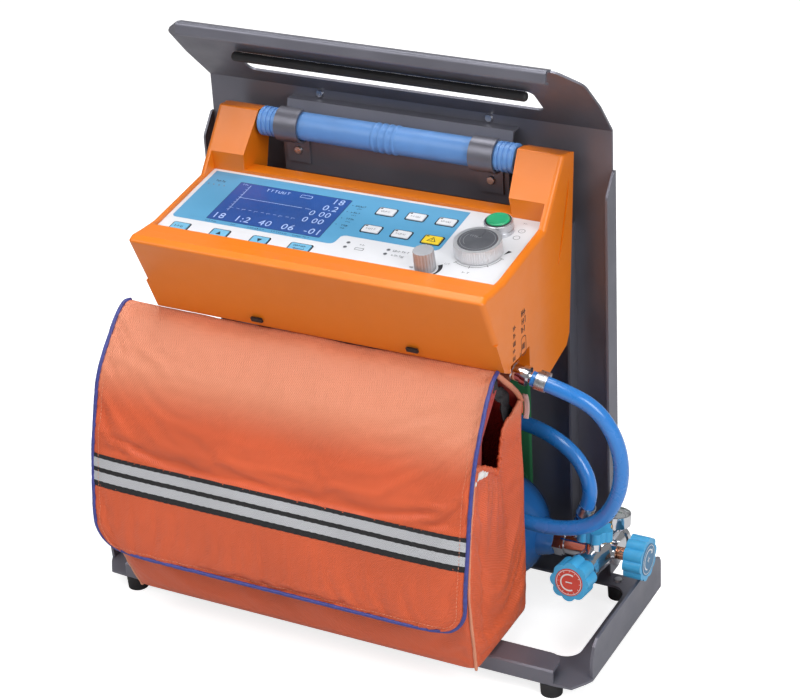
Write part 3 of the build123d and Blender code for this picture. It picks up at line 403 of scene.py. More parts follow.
def flat_piece(name, shapes, plane, lift, mat, body="rack"):
    # shapes: outlines in mm, each filled as one face
    verts, faces = [], []
    for outline in shapes:
        base = len(verts)
        verts += [plane(x, y, lift) for x, y in outline]
        faces.append(tuple(range(base, base + len(outline))))
    o = mesh(name, verts, faces, mat, body, smooth=False)
    bm = bmesh.new()
    bm.from_mesh(o.data)
    bmesh.ops.triangulate(bm, faces=[f for f in bm.faces if len(f.verts) > 4])
    bm.to_mesh(o.data)
    bm.free()
    return o


def rrect(cx, cy, w, h, r, n=5):
    out = []
    for sx, sy, a0 in ((1, 1, 0), (-1, 1, 90), (-1, -1, 180), (1, -1, 270)):
        for i in range(n + 1):
            t = rad(a0 + 90 * i / n)
            out.append((cx + sx * (w / 2 - r) + r * cos(t), cy + sy * (h / 2 - r) + r * sin(t)))
    return out


def ring(outer, inner):
    n = len(outer)
    return [[outer[i], outer[(i + 1) % n], inner[(i + 1) % n], inner[i]] for i in range(n)]


def arc_band(cx, cy, r0, r1, a0, a1, n=28, taper=False):
    quads = []
    for i in range(n):
        t0, t1 = rad(a0 + (a1 - a0) * i / n), rad(a0 + (a1 - a0) * (i + 1) / n)
        w0, w1 = (i / n, (i + 1) / n) if taper else (1, 1)
        q = []
        for t, r in ((t0, r0), (t1, r0), (t1, r0 + (r1 - r0) * w1), (t0, r0 + (r1 - r0) * w0)):
            q.append((cx + r * cos(t), cy + r * sin(t)))
        quads.append(q)
    return quads


def disc(cx, cy, r, n=24):
    return [(cx + r * cos(2 * pi * i / n), cy + r * sin(2 * pi * i / n)) for i in range(n)]


def bar(x0, y0, x1, y1, w):
    d = Vector((x1 - x0, y1 - y0)).normalized() * (w / 2)
    return [(x0 - d.y, y0 + d.x), (x0 + d.y, y0 - d.x), (x1 + d.y, y1 - d.x), (x1 - d.y, y1 + d.x)]


def paint(mat, *nodes):
    for n in nodes:
        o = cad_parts[n]
        if o.data.materials:
            for i in range(len(o.data.materials)):
                o.data.materials[i] = mat
        else:
            o.data.materials.append(mat)


# ---- hose
ROUTE = [(173.62, -127.0, 269.01), (199.0, -125.0, 262.9), (228.0, -117.0, 246.0),
         (243.0, -108.0, 208.0), (241.0, -103.0, 164.0), (222.0, -99.5, 127.0), (188.0, -97.5, 110.0),
         (148.0, -96.5, 108.0), (106.0, -94.5, 116.5), (68.0, -91.5, 120.0), (30.4, -88.0, 121.0),
         (5.2, -78.9, 136.8), (-4.5, -64.0, 162.6), (5.2, -49.2, 188.3), (30.4, -40.0, 204.1),
         (64.0, -39.5, 202.2), (90.0, -40.0, 186.5), (112.0, -41.3, 172.5), (138.0, -44.5, 172.0),
         (163.5, -51.5, 167.3), (180.96, -54.0, 155.6), (191.26, -55.5, 138.1), (192.94, -56.0, 117.92),
         (185.56, -56.0, 98.79)]
curve = bpy.data.curves.new("supply_hose", "CURVE")
curve.dimensions = "3D"
curve.bevel_depth = 0.0066
curve.bevel_resolution = 6
curve.resolution_u = 10
curve.use_fill_caps = True
spline = curve.splines.new("NURBS")
spline.points.add(len(ROUTE) - 1)
for point, xyz in zip(spline.points, ROUTE):
    point.co = (*P(*xyz), 1)
spline.order_u = 3
spline.use_endpoint_u = True
curve.materials.append(m_hose)
hose = bpy.data.objects.new("supply_hose", curve)
link(hose)
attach(hose, "rack")
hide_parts("gas_hose")

# ---- CAD pieces that keep their shape
paint(m_rack, "back_plate", "carry_flange", "centre_channel", "hook_rail", "grip_hooks", "base_frame")
paint(m_rubber, "slot_grip", "feet")
paint(m_steel, "screws", "hose_clamps", "grip_core")
paint(m_orange, "casing_upper", "casing_lower")
paint(m_white, "control_panel")
paint(m_module, "lcd_module", "lcd_window")
paint(m_key_blue, "key_set", "key_up", "key_down", "key_confirm")
paint(m_key_white, "key_mode_1", "key_mode_2", "key_mode_3", "key_mode_4", "key_mode_5")
paint(m_key_yellow, "key_alarm")
paint(m_silver, "switch_bezel")
paint(m_green, "switch_cap")
paint(m_knurl, "dial_large")
paint(m_cap, "dial_large_cap")
paint(m_grey, "dial_small")
paint(m_black, "panel_modules", "loudspeaker", "patient_outlet", "gauge_pointer")
paint(m_board, "main_board")
paint(m_wrap, "battery_pack")
paint(m_alu, "gas_manifold")
paint(m_chrome, "inlet_fitting", "valve_nut", "reducer_body", "outlet_fitting", "outlet_spindle", "gauge_case")
paint(m_grip, "grip_sleeve")
paint(m_cyl, "gas_cylinder")
paint(m_brass, "relief_valve")
paint(m_copper, "valve_spindle")
paint(m_wheel, "valve_wheel", "outlet_knob", "flow_knob")
paint(m_red, "outlet_knob_disc")
paint(m_navy, "valve_wheel_disc")
paint(m_face, "gauge_dial")
paint(m_glass, "gauge_lens")

# ---- panel print
KEYS = {"key_set": (-137.6, 8.0, 15.0, 11.0), "key_up": (-98.7, 8.0, 15.0, 11.0),
        "key_down": (-60.2, 8.0, 15.0, 11.0), "key_confirm": (-21.9, 8.0, 18.6, 11.0),
        "key_mode_1": (23.0, 78.8, 15.4, 9.6), "key_mode_2": (50.8, 78.8, 15.4, 9.6),
        "key_mode_3": (78.7, 78.8, 15.4, 9.6), "key_mode_4": (23.0, 51.0, 15.4, 9.6),
        "key_mode_5": (50.8, 51.0, 15.4, 9.6), "key_alarm": (79.4, 50.4, 15.4, 11.0)}
LX, LA, LW, LD = -68.1, 57.1, 108.4, 59.6
blue = [(-154, 25)] + [(-150 + 4 * cos(rad(t)), 25.5 + 4 * sin(rad(t))) for t in (180, 210, 240, 270)]
blue += [(-2.5, 21.5)] + [(-2.5 + 5 * cos(rad(t)), 26.5 + 5 * sin(rad(t))) for t in (-60, -30, 0)]
blue += [(7.5 - 5 * cos(rad(t)), 31.5 + 5 * sin(rad(t))) for t in (30, 60, 90)]
blue += [(85.5 + 6 * cos(rad(t)), 42.5 + 6 * sin(rad(t))) for t in (-90, -60, -30, 0)]
blue += [(91.5, 98.4), (-154, 98.4)]
flat_piece("panel_blue_area", [blue], panel, 0.07, m_print_blue)
glass = flat_piece("display_glass", [rrect(LX, LA, LW, LD, 0.8)], panel, 0.16, m_lcd)
apply(glass, "SOLIDIFY", thickness=0.00035, offset=-1)
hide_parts("lcd_window")
flat_piece("display_border", ring(rrect(LX, LA, LW + 1.0, LD + 1.0, 1.0), rrect(LX, LA, LW, LD, 0.8)),
           panel, 0.12, m_module)

# key outlines
rings = []
for kx, ka, kw, kd in KEYS.values():
    rings += ring(rrect(kx, ka, kw + 2.9, kd + 2.9, 2.2), rrect(kx, ka, kw + 0.5, kd + 0.5, 1.2))
flat_piece("key_outlines", rings, panel, 0.18, m_ink)


def scribble(cx, cy, width, height, parts):
    # a short row of strokes that stands for printed wording
    out, x = [], cx - width / 2
    step = width / parts
    for i in range(parts):
        w = step * (0.55 + 0.2 * rng.random())
        kind = rng.randrange(3)
        if kind == 0:
            out.append(bar(x, cy - height / 2, x, cy + height / 2, height * 0.2))
            out.append(bar(x, cy, x + w, cy, height * 0.2))
        elif kind == 1:
            out.append(bar(x, cy + height / 2, x + w, cy + height / 2, height * 0.2))
            out.append(bar(x + w / 2, cy + height / 2, x + w / 2, cy - height / 2, height * 0.2))
        else:
            out.append(bar(x, cy - height / 2, x + w, cy - height / 2, height * 0.2))
            out.append(bar(x, cy - height / 2, x, cy + height / 2, height * 0.2))
            out.append(bar(x + w, cy - height / 2, x + w, cy + height / 2, height * 0.2))
        x += step
    return out


for key, (kx, ka, kw, kd) in KEYS.items():
    if key == "key_up":
        marks = [[(kx - 2.4, ka - 2.2), (kx + 2.4, ka - 2.2), (kx, ka + 2.4)]]
    elif key == "key_down":
        marks = [[(kx - 2.4, ka + 2.2), (kx, ka - 2.4), (kx + 2.4, ka + 2.2)]]
    elif key == "key_alarm":
        tri = [(kx - 4.2, ka - 3.0), (kx + 4.2, ka - 3.0), (kx, ka + 3.6)]
        mid = Vector((kx, ka - 0.8))
        marks = ring(tri, [tuple(mid.lerp(Vector(q), 0.72)) for q in tri])
        marks.append(bar(kx, ka + 1.4, kx, ka - 1.0, 0.7))
        marks.append(disc(kx, ka - 2.0, 0.4, 8))
    elif key == "key_confirm":
        marks = scribble(kx, ka + 2.0, 12.0, 1.8, 7)
        marks += [bar(kx - 3, ka - 2.4, kx + 5, ka - 2.4, 0.6), bar(kx + 5, ka - 2.4, kx + 5, ka - 0.8, 0.6),
                  [(kx - 3, ka - 1.4), (kx - 5.4, ka - 2.4), (kx - 3, ka - 3.4)]]
    elif key == "key_set":
        marks = scribble(kx, ka, 8.5, 2.6, 3)
    else:
        marks = scribble(kx, ka - 0.4, 8.8, 2.0, 4)
    flat_piece(key + "_mark", marks, panel, 1.06, m_ink if "mode" not in key else m_ink_grey, key)
    if "mode" in key or key == "key_alarm":
        flat_piece(key + "_lamp", [rrect(kx - kw / 2 + 1.9, ka + kd / 2 - 1.5, 2.4, 1.5, 0.3)], panel, 1.06,
                   m_ink, key)


# display: figures, axis, waveform
def text(name, body, x, a, size, mat, lift=0.22):
    cu = bpy.data.curves.new(name, "FONT")
    cu.body = body
    cu.size = size / 1000
    cu.resolution_u = 3
    cu.space_character = 1.1
    cu.materials.append(mat)
    o = bpy.data.objects.new(name, cu)
    link(o)
    ex = Vector((1, 0, 0))
    ey = (panel(0, 1) - panel(0, 0)).normalized()
    t = Matrix((ex, ey, ex.cross(ey))).transposed().to_4x4()
    t.translation = panel(x, a, lift)
    o.matrix_world = t
    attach(o, "rack")
    return o


for i, (s, x, a, size) in enumerate((
        ("18", -29.5, 77.6, 11.0), ("0.2", -33.0, 66.6, 11.0), ("0 00", -40.5, 56.4, 10.5),
        ("0 00", -41.5, 45.6, 10.5), ("18", -120.0, 30.0, 11.5), ("1:2", -98.5, 30.0, 11.5),
        ("40", -75.0, 30.0, 11.5), ("06", -53.0, 30.0, 11.5), ("-01", -31.5, 30.0, 11.5))):
    text("figure_%d" % i, s, x, a, size, m_digit)
lines = [bar(-111, 43, -111, 84, 0.5), bar(-111, 64.5, -50, 64.5, 0.5), bar(-47, 64.5, -41.5, 64.5, 0.5)]
lines += [bar(-113, 45 + 4 * i, -111, 45 + 4 * i, 0.35) for i in range(10)]
lines += [bar(-111 + 6 * i, 48, -108 + 6 * i, 48, 0.35) for i in range(11)]
lines += [bar(-111 + 12 * i, 46.4, -111 + 12 * i, 48, 0.35) for i in range(6)]
lines += ring(rrect(-55, 81.5, 11, 4.4, 0.6), rrect(-55, 81.5, 10, 3.4, 0.4))
lines += [bar(-49.4, 80.6, -49.4, 82.4, 0.5)]
lines += scribble(-116, 84.2, 6.5, 1.8, 3) + scribble(-82, 81.8, 24, 3.2, 6)
flat_piece("display_lines", lines, panel, 0.22, m_digit)

# small printed marks on the panel
marks = scribble(-141, 84, 9.5, 2.0, 5)
for i, a in enumerate((80.5, 70.0, 60.0, 50.0)):
    marks.append(disc(-9.8, a, 0.5, 8))
    marks += scribble(-1.5, a, 10.0 - i, 1.9, 4)
    marks += scribble(-1.5, a - 4.0, 4.5, 1.2, 3)
for i, x in enumerate((-116, -94, -72, -50, -29)):
    marks += scribble(x, 24.2, (11, 5, 16, 16, 16)[i], 1.4, (4, 3, 7, 7, 7)[i])
flat_piece("panel_marks", marks, panel, 0.2, m_ink)
dots = [disc(-150.0 + 5.2 * i, 77.5, 0.8, 12) for i in range(4)]
flat_piece("alarm_dots", dots, panel, 0.2, m_ink_grey)
grey = []
LAMPS = ((13.8, 27.5), (14, 20.8), (51, 27), (51, 20.8))
for x, a in LAMPS:
    grey += ring(disc(x, a, 1.7, 20), disc(x, a, 1.0, 20))
grey += scribble(27.5, 27.2, 5, 2.2, 2) + ring(rrect(27, 21.0, 8, 3.4, 0.5), rrect(27, 21.0, 7, 2.4, 0.4))
grey += scribble(63, 27, 15, 2.4, 6) + scribble(62.5, 20.6, 11, 2.2, 5)
for x, a in ((144.3, 83.9), (144.2, 73.6)):
    grey += ring(disc(x, a, 3.0), disc(x, a, 2.5))
grey += [bar(144.3, 83.2, 144.3, 84.6, 0.3)]
grey += scribble(143, 95.0, 5.0, 1.6, 2) + scribble(127, 14.5, 7.0, 2.4, 2)
grey += scribble(107.0, 22.0, 5.0, 1.6, 2) + scribble(109, 2.6, 8.0, 1.6, 4)
flat_piece("panel_grey_marks", grey, panel, 0.2, m_ink_grey)
for x, a in LAMPS:
    flat_piece("lamp_%d_%d" % (x, a), [disc(x, a, 1.0, 16)], panel, 0.25, m_cap)
BX, BA, SX, SA = 124.2, 44.5, 92.6, 10.6     # centres of the large and the small dial
dial = arc_band(BX, BA, 21.6, 22.0, -125, -8, 40)
dial += [[(BX + 20.6, BA + 3), (BX + 25.4, BA + 8.5), (BX + 22.0, BA + 9.5)]]
dial += [bar(BX + 20.4 * cos(rad(t)), BA + 20.4 * sin(rad(t)), BX + 23.6 * cos(rad(t)),
             BA + 23.6 * sin(rad(t)), 0.5) for t in (-125, -86, -47, -8)]
dial += arc_band(SX, SA, 10.4, 14.4, -62, 42, 24, True)
dial += [bar(SX - 10.6, SA - 1, SX - 13.6, SA - 1.6, 0.9)]
flat_piece("dial_scales", dial, panel, 0.2, m_ink)


def cap_plane(x, y, lift):
    return panel(BX + x, BA + y, lift)


flat_piece("dial_cap_marks", ring(disc(0, 0, 14.6, 40), disc(0, 0, 14.2, 40)) + scribble(-3, 4.0, 11, 2.2, 6)
           + arc_band(0, 0, 11.4, 11.8, 150, 230, 16), cap_plane, 12.72, m_label_dim, "dial_large")


def ring_plane(x, y, lift):
    return panel(126.2 + x, 79.6 + y, lift)


lathe("switch_ring", [(10.9, 10.1), (10.9, 10.6), (10.6, 10.9), (10.15, 10.9), (10.0, 10.4), (10.0, 9.4)],
      ring_plane, m_black, 56)


# printed marks on the console's right side
def side_mark(y, z, lift=0.0):
    return P(164.15 + lift, y, z)


marks = []
for y, z, h in ((-137, 318, 4.4), (-137.5, 311, 4.0), (-138, 304.5, 3.8), (-138.5, 298, 3.6),
                (-139, 291.5, 3.4)):
    marks += scribble(y, z, 5.2, h, 2)
for y, z, h in ((-119.5, 324, 5.4), (-119, 316.5, 5.0), (-121, 309, 4.6)):
    marks += scribble(y, z, 8.0, h, 3)
marks += ring(rrect(-121, 294.5, 9.5, 17, 3.0), rrect(-121, 294.5, 8.3, 15.8, 2.6))
marks += scribble(-121, 294.5, 5, 4.6, 2)
marks += [bar(-128, 287, -128, 291, 0.8), disc(-131, 285, 0.7, 8)]
flat_piece("side_marks", marks, side_mark, 0.0, m_ink)


# ---- label discs on the wheels
def wheel_plane(x, y, lift):
    return P(246.4 + lift, -56.0 + x, 70.0 + y)


def knob_plane(x, y, lift):
    s = 77.4 + lift
    return P(205.0 + x, -56.0 - s * cos(REG) + y * sin(REG), 70.0 + s * sin(REG) + y * cos(REG))


flat_piece("wheel_label_marks", arc_band(0, 0, 8.2, 9.6, 35, 250, 26)
           + [[(9.4 * cos(rad(35)) + 1.6, 9.4 * sin(rad(35)) + 1.2), (8.9 * cos(rad(12)), 8.9 * sin(rad(12))),
               (7.2 * cos(rad(35)) - 1.0, 7.2 * sin(rad(35)) - 0.8)]]
           + ring(disc(0, 0, 13.2, 40), disc(0, 0, 12.6, 40)) + [bar(-3, 0, 3, 0, 1.0), bar(0, -3, 0, 3, 1.0)],
           wheel_plane, 0.1, m_label, "valve_wheel")
flat_piece("knob_label_marks", ring(disc(0, 0, 11.4, 40), disc(0, 0, 10.9, 40))
           + arc_band(0, 0, 6.6, 7.9, 60, 300, 26) + [bar(-3, 0, 3, 0, 1.0)]
           + [bar(9.4 * cos(rad(t)), 9.4 * sin(rad(t)), 10.6 * cos(rad(t)), 10.6 * sin(rad(t)), 0.4)
              for t in range(0, 360, 30)], knob_plane, 0.1, m_label, "outlet_knob")


def gauge_plane(x, y, lift):
    s = -20 - y
    u = 23.05 + lift
    return P(205.0 + x, -56.0 - s * cos(REG) + u * sin(REG), 70.0 + s * sin(REG) + u * cos(REG))


flat_piece("gauge_scale", arc_band(0, 0, 9.6, 10.0, -50, 230, 40)
           + [bar(9.6 * cos(rad(t)), 9.6 * sin(rad(t)), 11.6 * cos(rad(t)), 11.6 * sin(rad(t)), 0.45)
              for t in range(-50, 231, 28)], gauge_plane, 0.05, m_ink)
flat_piece("gauge_scale_green", arc_band(0, 0, 7.6, 9.0, 60, 150, 20), gauge_plane, 0.05, m_strap)

# ---- grip ribs
for i, x in enumerate((-9.6, -3.2, 3.2, 9.6)):
    prof = [(12.0, -2.0), (12.55, -1.4), (12.8, -0.5), (12.8, 0.5), (12.55, 1.4), (12.0, 2.0)]
    lathe("grip_rib_%d" % i, prof, lambda a, b, h, x=x: P(x + h, -30.5 + a, 415.2 + b), m_grip, 40)

# ---- cylinder straps of webbing
for i, sx in enumerate((-101.0, 101.0)):
    verts, faces = [], []
    xs = [sx - 12.5 + 25 * k / 8 for k in range(9)]
    n = 72
    for k in range(n):
        t = 2 * pi * k / n
        for j, x in enumerate(xs):
            r = 51.1 + 0.25 * cos(pi * (j - 4) / 4) + 0.15 * noise.noise(Vector((x, k * 0.5, 0)))
            verts.append(P(x, -56 + r * cos(t), 70 + r * sin(t)))
    for k in range(n):
        for j in range(8):
            a, b = k * 9 + j, ((k + 1) % n) * 9 + j
            faces.append((a, b, b + 1, a + 1))
    base = len(verts)
    rows = 44
    for k in range(rows):
        z = 72 + (237 - 72) * k / (rows - 1)
        for x in xs:
            verts.append(P(x, -3.0 + 0.25 * noise.noise(Vector((x * 0.2, z * 0.06, i))), z))
    faces += grid_faces(rows, 9, base)
    strap = mesh("cylinder_strap_%d" % i, verts, faces, m_strap)
    apply(strap, "SOLIDIFY", thickness=0.0013, offset=0)
    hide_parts("cylinder_straps")

# ---- bag
BL, BR = -196.0, 158.0         # the bag's left and right ends


def along_profile(points, n):
    # points of (y, z) in mm -> n smooth points evenly apart
    return [(p.y, p.z) for p in smooth_line([Vector((0, y, z)) for y, z in points], n)]


def mix(table, q):
    # linear reading of a table of (key, value)
    if q <= table[0][0]:
        return table[0][1]
    for (a, x), (b, y) in zip(table, table[1:]):
        if q <= b:
            return x + (y - x) * (q - a) / (b - a)
    return table[-1][1]


front_y = [(28.7, -211.0), (45, -214.5), (75, -220.5), (110, -223.5), (165, -217.0), (200, -207), (219, -204)]
left_x = [(28.7, -180.0), (60, -190.0), (110, -195.0), (170, -196.0), (240, -194.0)]
right_x = [(28.7, 155.5), (60, 157.5), (240, 158.0)]
# top edge of each end panel, by how far back it is
gusset_top = [(0.0, 218.5), (0.15, 212.0), (0.36, 200.5), (0.52, 191.5), (0.62, 190.0), (0.70, 199.0),
              (0.74, 211.0), (0.82, 221.0), (0.92, 228.0), (1.0, 239.0)]
gusset_in = [(0.0, 0.0), (0.25, 2.0), (0.5, 4.5), (0.7, 7.0), (0.85, 4.5), (1.0, 1.0)]
# points along the front and rear, along each end, round each corner, and up the wall
NF, NG, NC, NZ = 64, 30, 4, 44
REAR = -109.4
BOTTOM = 28.7


def ring_at(w):
    # one level of the bag's wall: front, right end, rear, left end, each with its kind
    out = []

    def corner(cx, cy, a0, z):
        for i in range(1, NC):
            t = rad(a0 + 90 * i / NC)
            out.append((cx + 7 * cos(t), cy + 7 * sin(t), z, "c"))

    def level(top):
        return BOTTOM + (top - BOTTOM) * w

    zf = level(219.0)
    xl, xr, yf = mix(left_x, zf), mix(right_x, zf), mix(front_y, zf)
    for i in range(NF + 1):
        f = i / NF
        out.append((xl + 7 + (xr - xl - 14) * f, yf, zf, "f"))
    corner(xr - 7, yf + 7, -90, zf)
    for i in range(NG + 1):
        f = i / NG
        z = level(mix(gusset_top, f))
        x, y = mix(right_x, z), mix(front_y, z)
        out.append((x - mix(gusset_in, f) * w * w, yf + 7 + (REAR - 7 - yf - 7) * f, z, "r"))
    zr = level(238.0)
    rear_l, rear_r = mix(left_x, zr), mix(right_x, zr)
    corner(rear_r - 7, REAR - 7, 0, zr)
    for i in range(NF + 1):
        out.append((rear_r - 7 - (rear_r - rear_l - 14) * (i / NF), REAR, zr, "b"))
    corner(rear_l + 7, REAR - 7, 90, zr)
    for i in range(NG + 1):
        f = 1 - i / NG
        z = level(mix(gusset_top, f))
        out.append((mix(left_x, z) + mix(gusset_in, f) * w * w, yf + 7 + (REAR - 7 - yf - 7) * f, z, "l"))
    corner(xl + 7, yf + 7, 180, zf)
    return out


rows = [ring_at(k / NZ) for k in range(NZ + 1)]
n = len(rows[0])
verts = [P(*q[:3]) for row in rows for q in row]
kinds = [q[3] for q in rows[0]]
faces = ring_faces(NZ + 1, n)
# floor of the bag: rings that close towards its middle
middle = P(-11, -162, 28.9)
last = 0
for s in (0.86, 0.6, 0.3):
    base = len(verts)
    for i in range(n):
        v = verts[i]
        verts.append(Vector((middle.x + (v.x - middle.x) * s, middle.y + (v.y - middle.y) * s, middle.z)))
    for i in range(n):
        j = (i + 1) % n
        faces.append((last + j, last + i, base + i, base + j))
    last = base
verts.append(middle)
for i in range(n):
    faces.append((last + (i + 1) % n, last + i, len(verts) - 1))
bag = mesh("bag_shell", verts, faces, [m_bag, m_lining])
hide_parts("bag_body")


def settle(o, pins, cap, pressure, gravity, tension, bending, shrink, frames=20):
    # cloth run on the piece itself, each point kept within cap of where it was
    rest = [v.co.copy() for v in o.data.vertices]
    group = o.vertex_groups.new(name="pins")
    for i, w in pins:
        group.add([i], w, "REPLACE")
    mod = o.modifiers.new("cloth", "CLOTH")
    s = mod.settings
    s.quality = 6
    s.mass = 0.25
    s.tension_stiffness = s.compression_stiffness = tension
    s.shear_stiffness = tension * 0.5
    s.bending_stiffness = bending
    s.vertex_group_mass = "pins"
    s.pin_stiffness = 5
    s.shrink_min = shrink
    s.effector_weights.gravity = gravity
    s.use_pressure = True
    s.uniform_pressure_force = pressure
    mod.collision_settings.use_collision = False
    mod.collision_settings.use_self_collision = False
    mod.point_cache.frame_start = 1
    mod.point_cache.frame_end = frames
    for f in range(1, frames + 1):
        bpy.context.scene.frame_set(f)
    dg = bpy.context.evaluated_depsgraph_get()
    now = [v.co.copy() for v in o.evaluated_get(dg).data.vertices]
    o.modifiers.clear()
    bpy.context.scene.frame_set(1)
    big = 0.0
    for v, a, b in zip(o.data.vertices, rest, now):
        d = b - a
        big = max(big, d.length)
        if d.length > cap:
            d *= cap / d.length * (1 - 0.3 * cap / d.length)
        v.co = a + d
    print("cloth %s moved up to %.1f mm" % (o.name, big * 1000))


pins = []
for i in range(len(bag.data.vertices)):
    k = i // n
    held = k <= 1 or k >= NZ or kinds[i % n] == "b"
    pins.append((i, 1.0 if held else 0.9 if kinds[i % n] == "c" else 0.0))
settle(bag, pins, 0.0045, pressure=2.2, gravity=0.6, tension=15, bending=0.6, shrink=-0.03)


def folds(o, layers, keep):
    # shallow folds along the surface's own normals
    me = o.data
    normals = [v.normal.copy() for v in me.vertices]
    for v, nn in zip(me.vertices, normals):
        d = 0.0
        for amount, stretch in layers:
            d += amount * noise.noise(Vector((v.co.x * stretch[0], v.co.y * stretch[1], v.co.z * stretch[2])))
        v.co += nn * d * keep(v.co)


def end_fold(co):
    # none at the bottom seam
    return min(1.0, max(0.0, (co.z * 1000 - 32) / 40))


folds(bag, [(0.0022, (9, 9, 16)), (0.0012, (30, 30, 14))], end_fold)
# two creases down each end panel
for v in bag.data.vertices:
    x, y, z = v.co.x * 1000 - DX, v.co.y * 1000 - DY, v.co.z * 1000
    for side, xe in ((1, BR), (-1, BL)):
        if abs(x - xe) < 12 and -208 < y < -116:
            line = -197 + (z - 60) * 0.03
            second = -132 - (200 - z) * 0.10
            d = math.exp(-((y - line) / 5.0) ** 2) * min(1, max(0, (z - 40) / 40)) * 2.4
            d += math.exp(-((y - second) / 11.0) ** 2) * min(1, max(0, (z - 70) / 60)) * 3.2
            v.co.x -= side * d / 1000
top_ring = [bag.data.vertices[NZ * n + i].co.copy() for i in range(n)]
right_front = [bag.data.vertices[k * n + NF + 2].co.copy() for k in range(NZ + 1)]
left_front = [bag.data.vertices[k * n + n - 2].co.copy() for k in range(NZ + 1)]
apply(bag, "SOLIDIFY", thickness=0.0016, offset=-1, material_offset=1, material_offset_rim=0)
apply(bag, "SUBSURF", levels=1, render_levels=1)

# rear panel carried on over the top, up to the ridge
top_profile = along_profile([(-110.6, 224.0), (-109.8, 233.0), (-115.5, 243.5), (-125.5, 255.0),
                             (-140.5, 269.0), (-155.5, 283.0)], 26)
verts = []
NX = 80
for k, (y, z) in enumerate(top_profile):
    for i in range(NX + 1):
        f = i / NX
        x = BL + 2 + (BR - BL - 4) * f
        wav = 1.2 * noise.noise(Vector((x * 0.03, k * 0.16, 3)))
        wav += 0.6 * noise.noise(Vector((x * 0.09, k * 0.3, 8)))
        verts.append(P(x, y - 0.5 * wav, z + min(1.2, wav) * (k / 25)))
roof = mesh("bag_top_panel", verts, grid_faces(26, NX + 1, across=False), [m_bag, m_lining])
apply(roof, "SOLIDIFY", thickness=0.0018, offset=1, material_offset=1, material_offset_rim=0)
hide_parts("bag_body")

# ---- flap
flap_line = [(-155.0, 284.6), (-158.0, 287.6), (-164.0, 287.4), (-171.0, 284.0), (-180.0, 275.2), (-190.5, 261.5),
             (-202.5, 242.6), (-211.4, 219.0), (-219.0, 192.0), (-227.3, 150.0), (-232.8, 118.0), (-234.6, 95.0),
             (-234.0, 77.6)]
fine = along_profile(flap_line, 400)
STRIPE = [168.0, 164.6, 156.2, 152.6, 144.2, 138.6]     # heights where the tape's stripes change
picks, kind_rows = [], []


def at_z(z):
    for i in range(6, len(fine)):
        if fine[i][1] <= z:
            return i
    return len(fine) - 1


stops = [0] + [at_z(z) for z in STRIPE] + [len(fine) - 1]
counts = [46, 2, 3, 2, 3, 2, 26]
for s, (a, b) in enumerate(zip(stops, stops[1:])):
    for c in range(counts[s]):
        picks.append(int(round(a + (b - a) * c / counts[s])))
        kind_rows.append(s)
picks.append(stops[-1])
flap_rows = [fine[i] for i in picks]
NR = len(flap_rows)
arc = [0.0]
for a, b in zip(flap_rows, flap_rows[1:]):
    arc.append(arc[-1] + math.hypot(b[0] - a[0], b[1] - a[1]))
total = arc[-1]
NU = 110                       # points across the flap
R = 28.0                       # radius of its lower corners
flap_left = [(0.0, -194.0), (0.10, -196.5), (0.35, -201.5), (0.6, -203.5), (0.85, -202.5), (1.0, -200.5)]
flap_right = [(0.0, 158.5), (0.10, 159.0), (0.5, 158.5), (1.0, 157.5)]
verts = []
for k, (y, z) in enumerate(flap_rows):
    q = arc[k] / total
    xl, xr = mix(flap_left, q), mix(flap_right, q)
    low = total - arc[k]
    inset = R - math.sqrt(max(0.0, R * R - max(0.0, R - low) ** 2)) if low < R else 0.0
    if arc[k] < 9:
        inset += 3.0 * (1 - arc[k] / 9) ** 2
    for i in range(NU + 1):
        f = i / NU
        x = xl + inset + (xr - xl - 2 * inset) * f
        edge = min(f, 1 - f)
        crown = 2.4 * (1 - math.exp(-edge * 26)) * min(1, arc[k] / 60)
        verts.append(P(x, y - crown + 1.2, z))
faces = [q[::-1] for q in grid_faces(NR, NU + 1)]
flap = mesh("bag_flap_cloth", verts, faces, [m_bag, m_lining], "bag_flap")
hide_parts("bag_flap")
pins = []
for i in range(len(verts)):
    k, u = divmod(i, NU + 1)
    if k < 2:
        w = 1.0
    elif u in (0, NU) or k == NR - 1:
        w = 0.85
    elif 46 <= k <= 58:
        w = 0.5
    else:
        w = 0.12
    pins.append((i, w))
settle(flap, pins, 0.004, pressure=-1.6, gravity=0.8, tension=10, bending=0.4, shrink=-0.025)


def flap_keep(co):
    # stronger over the top than down the front
    return 0.35 + 0.65 * min(1.0, max(0.0, (co.z * 1000 - 180) / 90))


folds(flap, [(0.0016, (7, 12, 22)), (0.0009, (24, 24, 24)), (0.0005, (70, 40, 40))], flap_keep)
# the ridge sags a little between its ends
for i, v in enumerate(flap.data.vertices):
    k, u = divmod(i, NU + 1)
    f = u / NU
    if arc[k] < 60:
        w = 1 - arc[k] / 60
        v.co.z -= w * (0.0022 * sin(pi * f) + 0.0012 * noise.noise(Vector((f * 7, 2, 5))))
grid = [v.co.copy() for v in flap.data.vertices]


def gp(k, u):
    return grid[k * (NU + 1) + u]


flap_normal = [v.normal.copy() for v in flap.data.vertices]
outward = 1 if sum(nn.y for nn in flap_normal) < 0 else -1
apply(flap, "SOLIDIFY", thickness=0.0016, offset=-outward, material_offset=1, material_offset_rim=0)

